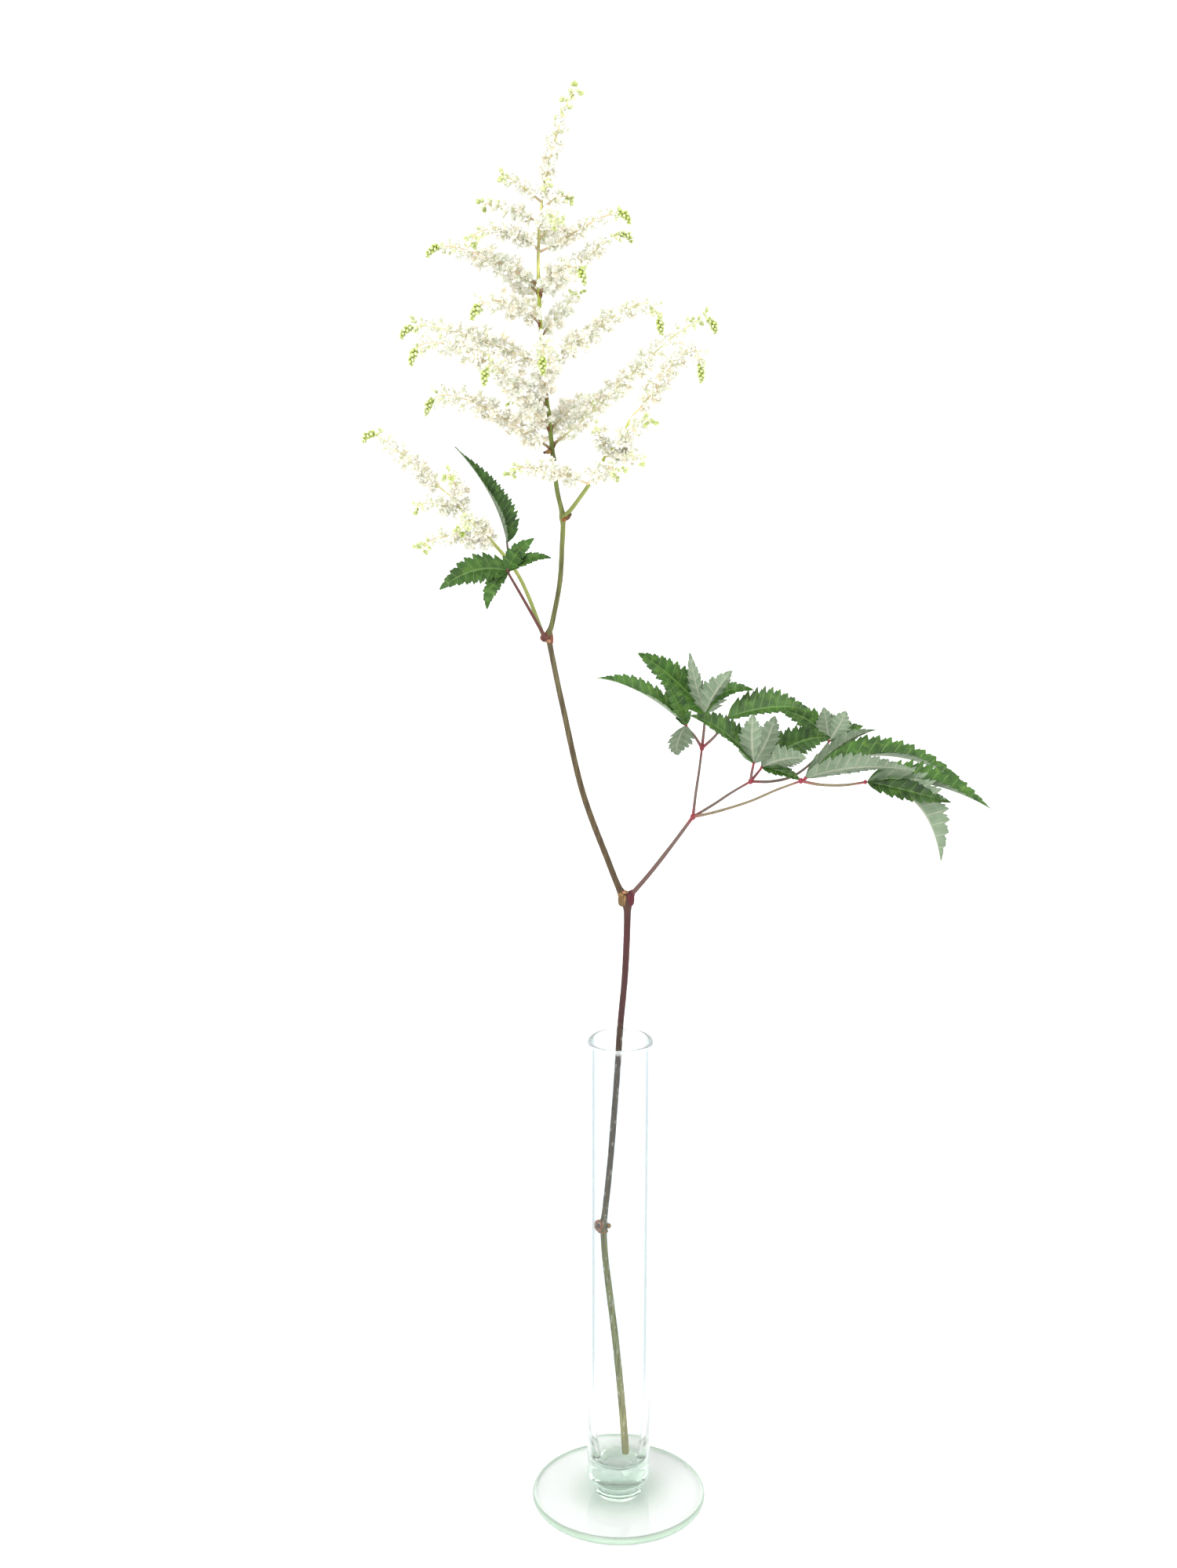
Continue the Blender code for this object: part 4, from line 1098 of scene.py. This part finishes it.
def petalShape(tilt, turn, length):
    # a closed spoon-shaped petal from the middle of the floret outwards, with a low keel below
    look = floretLook
    width, thickness, curl = look["petalWidth"], look["petalThickness"], look["petalCurl"]
    lean = math.radians(tilt)
    across = Vector((-math.sin(turn), math.cos(turn), 0))
    out = Vector((math.cos(turn), math.sin(turn), 0))
    base = out * 0.25 + up * 0.35
    points, tints = [base], [paint(*look["petalRoot"])]
    for share, wide in look["petalRings"]:
        angle = lean - curl * share
        ahead = out * math.sin(angle) + up * math.cos(angle)
        below = out * math.cos(angle) - up * math.sin(angle)
        centre = base + ahead * (length * share)
        tint = blendPaint(paint(*look["petalRoot"]), paint(*look["petalColour"]), min(1, share * 1.8))
        for sideways, down in ((1, 0), (-1, 0), (0, 1)):
            points.append(centre + across * (sideways * wide * width / 2) + below * (down * thickness))
            tints.append(tint)
    angle = lean - curl
    points.append(base + (out * math.sin(angle) + up * math.cos(angle)) * length)
    tints.append(paint(*look["petalColour"]))
    ring = np.arange(3)
    following = (ring + 1) % 3
    last = 3 * (len(look["petalRings"]) - 1)
    faces = [np.stack([np.zeros(3, int), following + 1, ring + 1], 1)]
    for low in range(0, last, 3):
        faces.append(np.stack([ring + 1 + low, following + 1 + low, following + 4 + low, ring + 4 + low], 1))
    faces.append(np.stack([ring + 1 + last, following + 1 + last, np.full(3, last + 4)], 1))
    return np.array(points), faces, np.array(tints)


def clubShape(start, end, radius, sides, tint, tipTint, belly=0.86):
    # a thin closed rod with its widest ring near its end, such as a stamen
    forward = (end - start).normalized()
    across = forward.orthogonal().normalized()
    over = forward.cross(across)
    middle = start.lerp(end, belly)
    points = [start]
    for side in range(sides):
        turn = 2 * math.pi * side / sides
        points.append(middle + (across * math.cos(turn) + over * math.sin(turn)) * radius)
    points.append(end)
    ring = np.arange(sides)
    following = (ring + 1) % sides
    faces = [np.stack([np.zeros(sides, int), following + 1, ring + 1], 1),
             np.stack([ring + 1, following + 1, np.full(sides, sides + 1)], 1)]
    return np.array(points), faces, np.array([tint] + [tipTint] * (sides + 1))


def makeFloretKind(openness, draw):
    # one floret round +Z: openness 0 is nearly shut and 1 is wide open
    look = floretLook
    pile = newPile()
    for index in range(look["petals"]):
        turn = 2 * math.pi * index / look["petals"] + draw.uniform(-0.2, 0.2)
        tilt = 26 + 50 * openness + draw.uniform(-12, 12)
        length = look["petalLength"] * draw.uniform(0.85, 1.12)
        pileUp(pile, *petalShape(tilt, turn, length))
    if openness > look["stamensFrom"]:
        for index in range(look["stamens"]):
            turn = 2 * math.pi * (index + 0.5) / look["stamens"] + draw.uniform(-0.3, 0.3)
            lean = math.radians(10 + 34 * openness * draw.uniform(0.5, 1.2))
            aim = Vector((math.cos(turn) * math.sin(lean), math.sin(turn) * math.sin(lean), math.cos(lean)))
            start = aim * 0.3
            end = aim * look["stamenLength"] * draw.uniform(0.75, 1.1)
            pileUp(pile, *clubShape(start, end, look["antherRadius"], 3, paint(*look["stamenColour"]),
                                    paint(*look["antherColour"])))
    calyx = (look["calyxRadius"], look["calyxRadius"], look["calyxHeight"])
    addBall(pile, (0, 0, 0.15), calyx, 5, 3, paint(*look["calyxColour"]))
    points = np.concatenate(pile["points"])
    threes = [group for group in pile["faces"] if group.shape[1] == 3]
    fours = [group for group in pile["faces"] if group.shape[1] == 4]
    return points, [np.concatenate(threes), np.concatenate(fours)], np.concatenate(pile["tints"])


def placeShape(pile, shape, place, forward, spin, size, wash=None):
    points, faces, tints = shape
    turned = (points * size) @ turnTo(forward, spin).T + np.array(place)
    if wash is not None:
        colour, share = wash
        tints = tints + (np.array(colour) - tints) * share
    pileUp(pile, turned, faces, tints)


def makeBudKind():
    # one bud round +Z, its tints standing for the share of the tip's colour
    pile = newPile()
    middle, radii = (0, 0, floretLook["budRise"]), floretLook["budRadii"]
    addBall(pile, middle, radii, 7, 6, (0, 0, 0, 1), tipTint=(1, 1, 1, 1))
    points = np.concatenate(pile["points"])
    return points, pile["faces"], np.concatenate(pile["tints"])


def tintedBud(rootColour, tipColour):
    points, faces, blend = bud
    return points, faces, np.array(rootColour) + (np.array(tipColour) - np.array(rootColour)) * blend


# Sprays: a rachis, short side branchlets on the golden angle, and florets on each

sprayLook = {
    # where along the straight line to its tip a spray arches and hooks, and how much arch is left there
    "archAt": 0.35,
    "hookAt": 0.98,
    "archLeft": 0.6,
    "routePoints": 60,
    # how far out of the stem's middle a spray starts, as a share of the stem's radius
    "rootDepth": 0.7,
    "rachisRadii": (0.62, 0.3),
    "rachisSides": 7,
    "rachisStep": 1.6,
    "rachisRipple": 0.15,
    "rootSwell": 0.25,
    "bare": 4,
    "branchBare": 6,
    "branchLooseness": 0.1,
    # sprays get looser upwards: from this height, over this height, up to this share
    "looseFrom": 672,
    "looseOver": 110,
    "loosest": 0.45,
    "spacing": 1.8,
    "taperToTip": 0.25,
    # length of one floret, which the side branchlets leave room for, and how far apart florets sit on them
    "floretReach": 2.0,
    "floretGap": 1.45,
    "branchletRadius": 0.16,
    "footRadius": 0.12,
    "floretLean": 0.9,
    "shutSize": 0.85,
    "startShare": 0.45,
    "fullAfter": 24,
    "openUntil": 0.62,
    "budsFrom": 0.82,
    "floretSize": 1.12,
    # florets stand further apart and look bigger on the thin upper sprays
    "looseSwell": 0.4,
    "greenLength": 9.5,
    "greenStep": 0.8,
    "greenRadii": (0.4, 0.25),
    "greenSides": 6,
    "greenSharpAngle": 80,
    "budSpacing": 0.42,
    "rachisColour": (226, 222, 178),
    "rachisBlush": (230, 208, 178),
    "rachisRoot": (112, 76, 38),
    "rootReach": 9.0,
    # how brown the foot is of a spray that has a bract, and of one that has none
    "bractBrown": 1.0,
    "plainBrown": 0.4,
    "branchletColour": (226, 226, 192),
    "budRoot": (206, 216, 160),
    "budTip": (240, 242, 220),
    # the green buds' lower end: partly their own deeper green, partly painted shade between the crowded buds
    "greenRootAndShade": (142, 162, 62),
    "greenTip": (190, 204, 108),
    "warmWash": (244, 230, 204),
    "coolWash": (236, 242, 230),
}

# Height of the root, tip, arch, hook, plume radius, green cluster or not
stemSprays = (
    (729, (-61.5, -8, 740), 2, 5, 4.6, False),
    (726, (-26.5, 10, 728.5), 3, 5, 4.4, False),
    (731, (-37, -17, 737), 1, 1, 4.5, False),
    (719, (-71.5, 12, 726), 3, 4, 4.9, False),
    (717, (-33, -30, 716.5), 4, 10, 5.0, False),
    (706, (-74.5, -26, 710), 12, 2, 5.6, False),
    (711, (-31, 38, 716.5), 3, 3, 5.1, False),
    (685, (-71, 24, 696.5), 4, 7, 5.6, False),
    (705, (2.5, -10, 718.5), 2, 15, 4.6, True),
    (689, (-97, -6, 702.5), 8, 9, 6.4, True),
    (685, (-19.5, -36, 690.5), 10, 11, 7.4, True),
    (684, (4, 22, 708.5), 1, 16, 5.6, True),
    (674, (-60, 48, 691.5), 1, 3, 6.4, False),
    (670, (-74, -36, 674), 12, 7, 7.6, True),
    (664, (-22.5, 38, 682.5), 1, 1, 6.3, False),
    (651, (18.5, -14, 665.5), 2, 37, 6.9, True),
    (650, (-112.5, 14, 661.5), 5, 14, 7.6, True),
    (629, (-105, -24, 651), 13, 20, 7.4, True),
    (634, (-39.5, -56, 649.5), 8, 27, 7.8, True),
    (617, (-15.5, 50, 624), 4, 5, 7.4, False),
    (618, (-68, -48, 643.5), 1, 28, 6.8, True),
    (609, (47.5, 22, 663.5), 1, 29, 7.2, True),
    (617, (-59, 58, 626.5), 4, 6, 7.0, False),
    (607, (-99.5, -2, 624.5), 9, 20, 7.9, True),
)
# Root, tips of the rachises that grow from it, arch, hook, plume radius, green cluster on the first or not
branchSprays = {
    "left": (
        ((-87.9, -8.1, 585.1), ((-130, -16, 612.5),), 1, 16, 6.0, True),
        ((-79.8, -6.9, 573.4), ((-104, -26, 579.5), (-87.5, -34, 597.5)), 6, 4, 6.0, False),
        ((-66.4, -1.9, 557.8), ((-101, -26, 558.5), (-81, -34, 570.5)), 6, 9, 6.4, False),
    ),
    "right": (
        ((4.5, -14.1, 626.1), ((38, -30, 643.5),), 2, 42, 7.4, True),
        ((-7.5, -10.9, 604.1), ((10, -36, 604), (12.5, -42, 625.5), (-15, -30, 619.5)), 2, 6, 5.5, False),
        ((-17.9, -6.7, 590.6), ((-56.5, -30, 597.5), (-3.5, -34, 598)), 5, 6, 7.0, False),
    ),
}
endSpray = {
    "route": ((-39.8, 0, 735.0), (-37.4, 0, 745), (-34.6, 0, 756), (-31.5, 0, 767), (-27.4, 0, 777),
              (-22.9, 0, 783.4)),
    "plume": 5.6,
    "bare": 1,
    "looseness": 0.4,
}


def archedRoute(root, tip, arch, hook):
    # leaves its root outwards, arches over and ends pointing down
    look = sprayLook
    root, tip = Vector(root), Vector(tip)
    first = root + (tip - root) * look["archAt"] + up * arch
    second = root + (tip - root) * look["hookAt"] + up * (hook + arch * look["archLeft"])
    return geometry.interpolate_bezier(root, first, second, tip, look["routePoints"])


def growBranchlet(pile, centre, aim, length, stage, shade, looseness, draw):
    # one side branchlet, with a floret or bud at its tip and more on short feet along it
    look = sprayLook
    tip = centre + aim * length
    colour = paint(*look["branchletColour"])
    pileUp(pile, *clubShape(centre, tip, look["branchletRadius"], 3, colour, colour, 0.3))
    count = 1 + round(length / look["floretGap"])
    spin = draw.uniform(0, 2 * math.pi)
    across = aim.orthogonal().normalized()
    over = aim.cross(across)
    for index in range(count):
        share = 1 - index / count
        foot = centre.lerp(tip, share)
        turn = spin + index * goldenAngle
        away = across * math.cos(turn) + over * math.sin(turn)
        lean = look["floretLean"] if index else 0
        forward = (aim + away * lean * draw.uniform(0.7, 1.2)).normalized()
        start = foot + forward * (0.5 if index else 0.1)
        if index:
            pileUp(pile, *clubShape(foot, start + forward * 0.3, look["footRadius"], 3, colour, colour, 0.5))
        size = look["floretSize"] * draw.uniform(0.85, 1.1) * (1 + look["looseSwell"] * looseness)
        if stage + draw.uniform(-0.12, 0.12) < look["openUntil"]:
            if draw.random() < 0.5:
                wash = (paint(*look["warmWash"]), 0.5 * draw.random() ** 2)
            else:
                wash = (paint(*look["coolWash"]), 0.5 * draw.random())
            placeShape(pile, draw.choice(openFlorets), start, forward, draw.uniform(0, 6.3), size, wash)
        elif stage + draw.uniform(-0.1, 0.1) < look["budsFrom"]:
            shut = draw.choice(shutFlorets)
            placeShape(pile, shut, start, forward, draw.uniform(0, 6.3), size * look["shutSize"])
        else:
            greening = min(1, max(0, shade + draw.uniform(-0.25, 0.25)))
            # a bud's lower end takes the green root colour, which holds painted shade
            root = blendPaint(paint(*look["budRoot"]), paint(*look["greenRootAndShade"]), greening)
            end = blendPaint(paint(*look["budTip"]), paint(*look["greenTip"]), greening)
            placeShape(pile, tintedBud(root, end), start, forward, 0, size)


def growRachis(pile, route, whole, end, plume, bare, looseness, rootBrown, draw):
    # the thin stalk of a spray as far as end, with its branchlets; whole is the length of all of it
    look = sprayLook
    points = evenPoints(route, 0, end, look["rachisStep"])
    blush = draw.random()
    colour = blendPaint(paint(*look["rachisColour"]), paint(*look["rachisBlush"]), blush)
    along = distancesOf(points)
    browning = [max(0, 1 - place / look["rootReach"]) * rootBrown for place in along]
    radii = [radius + look["rootSwell"] * brown
             for radius, brown in zip(taper(len(points), *look["rachisRadii"]), browning)]
    shades = [blendPaint(colour, paint(*look["rachisRoot"]), brown) for brown in browning]
    addTube(pile, points, radii, look["rachisSides"], shades, look["rachisRipple"])
    frames = framesOf(points)
    place = bare
    turn = draw.uniform(0, 2 * math.pi)
    while place < end - 0.6:
        centre, index = pointAt(points, along, place)
        across, over = frames[index]
        out = across * math.cos(turn) + over * math.sin(turn)
        ahead = (points[index] - points[index - 1]).normalized()
        share = min(1 - look["taperToTip"] * place / whole, look["startShare"] + place / look["fullAfter"])
        aim = (out * 0.88 + ahead * 0.48).normalized()
        length = max(0.5, plume * share * draw.uniform(0.8, 1.35) - look["floretReach"])
        stage = place / whole * (1 - looseness) + looseness
        growBranchlet(pile, centre, aim, length, stage, (place / whole - 0.75) * 3, looseness, draw)
        place += look["spacing"] * (1 - 0.3 * looseness) * draw.uniform(0.8, 1.2)
        turn += goldenAngle


def growGreenEnd(pile, route, start, end, draw):
    # the drooping cluster of green buds at a spray's end
    look = sprayLook
    points = evenPoints(route, start, end, look["greenStep"])
    radii = taper(len(points), *look["greenRadii"])
    addTube(pile, points, radii, look["greenSides"], paint(*look["greenTip"]))
    along = distancesOf(points)
    frames = framesOf(points)
    place = 0.4
    turn = draw.uniform(0, 2 * math.pi)
    while place < along[-1]:
        centre, index = pointAt(points, along, place)
        across, over = frames[index]
        out = across * math.cos(turn) + over * math.sin(turn)
        ahead = (points[index] - points[index - 1]).normalized()
        swell = math.sin(math.pi * min(1, 0.25 + 0.75 * place / along[-1])) * 0.6 + 0.5
        forward = (out * 0.9 + ahead * 0.45).normalized()
        light = draw.uniform(0, 0.6)
        # each bud's lower end is darker: its own green with painted shade between the crowded buds
        root = blendPaint(paint(*look["greenRootAndShade"]), paint(*look["budRoot"]), light * 0.5)
        tip = blendPaint(paint(*look["greenTip"]), paint(*look["budTip"]), light)
        size = swell * draw.uniform(0.85, 1.1)
        placeShape(pile, tintedBud(root, tip), centre + out * 0.45 * swell, forward, 0, size)
        place += look["budSpacing"] * draw.uniform(0.8, 1.2)
        turn += goldenAngle


def makeFloretMaterial(name, roughness, glow):
    material, tree, shader = newMaterial(name, roughness, 0.25)
    tint, spot = tintAndSpot(tree)
    grain = noiseField(tree, spot, 1200, 2)
    shade = mixColours(tree, remap(tree, grain, 0.3, 0.7, 0.96, 1.0), (0, 0, 0, 1), tint)
    tree.links.new(shade, shader.inputs["Base Color"])
    letLightThrough(tree, shader, shade, glow)
    return material


def makeSpray(node, routes, plume, bare, greenEnd, looseness, rootBrown=0.0):
    draw = random.Random(f"{plantSeed} {node}")
    label = node.replace("_", "")
    pile = newPile()
    for index, route in enumerate(routes):
        whole = distancesOf(route)[-1]
        clustered = greenEnd and index == 0
        end = whole - sprayLook["greenLength"] if clustered else whole
        growRachis(pile, route, whole, end, plume, bare, looseness, rootBrown, draw)
        if clustered:
            buds = newPile()
            growGreenEnd(buds, route, end, whole, draw)
            pieceFromPile(label + "GreenBuds", buds, [budSkin], [node + "_green_buds"],
                          sprayLook["greenSharpAngle"])
    pieceFromPile(label + "Florets", pile, [petalSkin], [node])


def makeSprays():
    look = sprayLook
    for index, (height, tip, arch, hook, plume, greenEnd) in enumerate(stemSprays):
        centre, radius = stemPoint(height)
        out = (Vector(tip) - centre).normalized()
        flat = Vector((out.x, out.y, 0)).length
        root = centre + out * (radius * look["rootDepth"] / flat)
        looseness = min(look["loosest"], max(0, (height - look["looseFrom"]) / look["looseOver"]))
        brown = look["bractBrown"] if height < sheathLook["bractBelow"] else look["plainBrown"]
        makeSpray(f"spray_{index + 1:02d}", [archedRoute(root, tip, arch, hook)], plume, look["bare"],
                  greenEnd, looseness, brown)
    for side, rows in branchSprays.items():
        for index, (root, tips, arch, hook, plume, greenEnd) in enumerate(rows):
            routes = [archedRoute(root, tip, arch, hook) for tip in tips]
            makeSpray(f"{side}_branch_spray_{index + 1}", routes, plume, look["branchBare"], greenEnd,
                      look["branchLooseness"])
    route = smoothRoute(endSpray["route"], 1)
    makeSpray("end_spray", [route], endSpray["plume"], endSpray["bare"], False, endSpray["looseness"])


makeCamera()
makeFloor()
makeLights()
print("camera, floor and lights made")
makeVase()
print("vase made")
makeStem()
makeSheaths()
makeFlowerBranches()
makeLeafStalks()
print("stem and stalks made")
makeLeaflets()
print("leaflets made")
kindDraw = random.Random(plantSeed)
openFlorets = [makeFloretKind(openness, kindDraw) for openness in floretLook["openKinds"]]
shutFlorets = [makeFloretKind(openness, kindDraw) for openness in floretLook["shutKinds"]]
bud = makeBudKind()
petalSkin = makeFloretMaterial("petalSkin", floretLook["petalRoughness"], floretLook["petalGlow"])
budSkin = makeFloretMaterial("greenBudSkin", floretLook["budRoughness"], floretLook["budGlow"])
makeSprays()
print("sprays made")
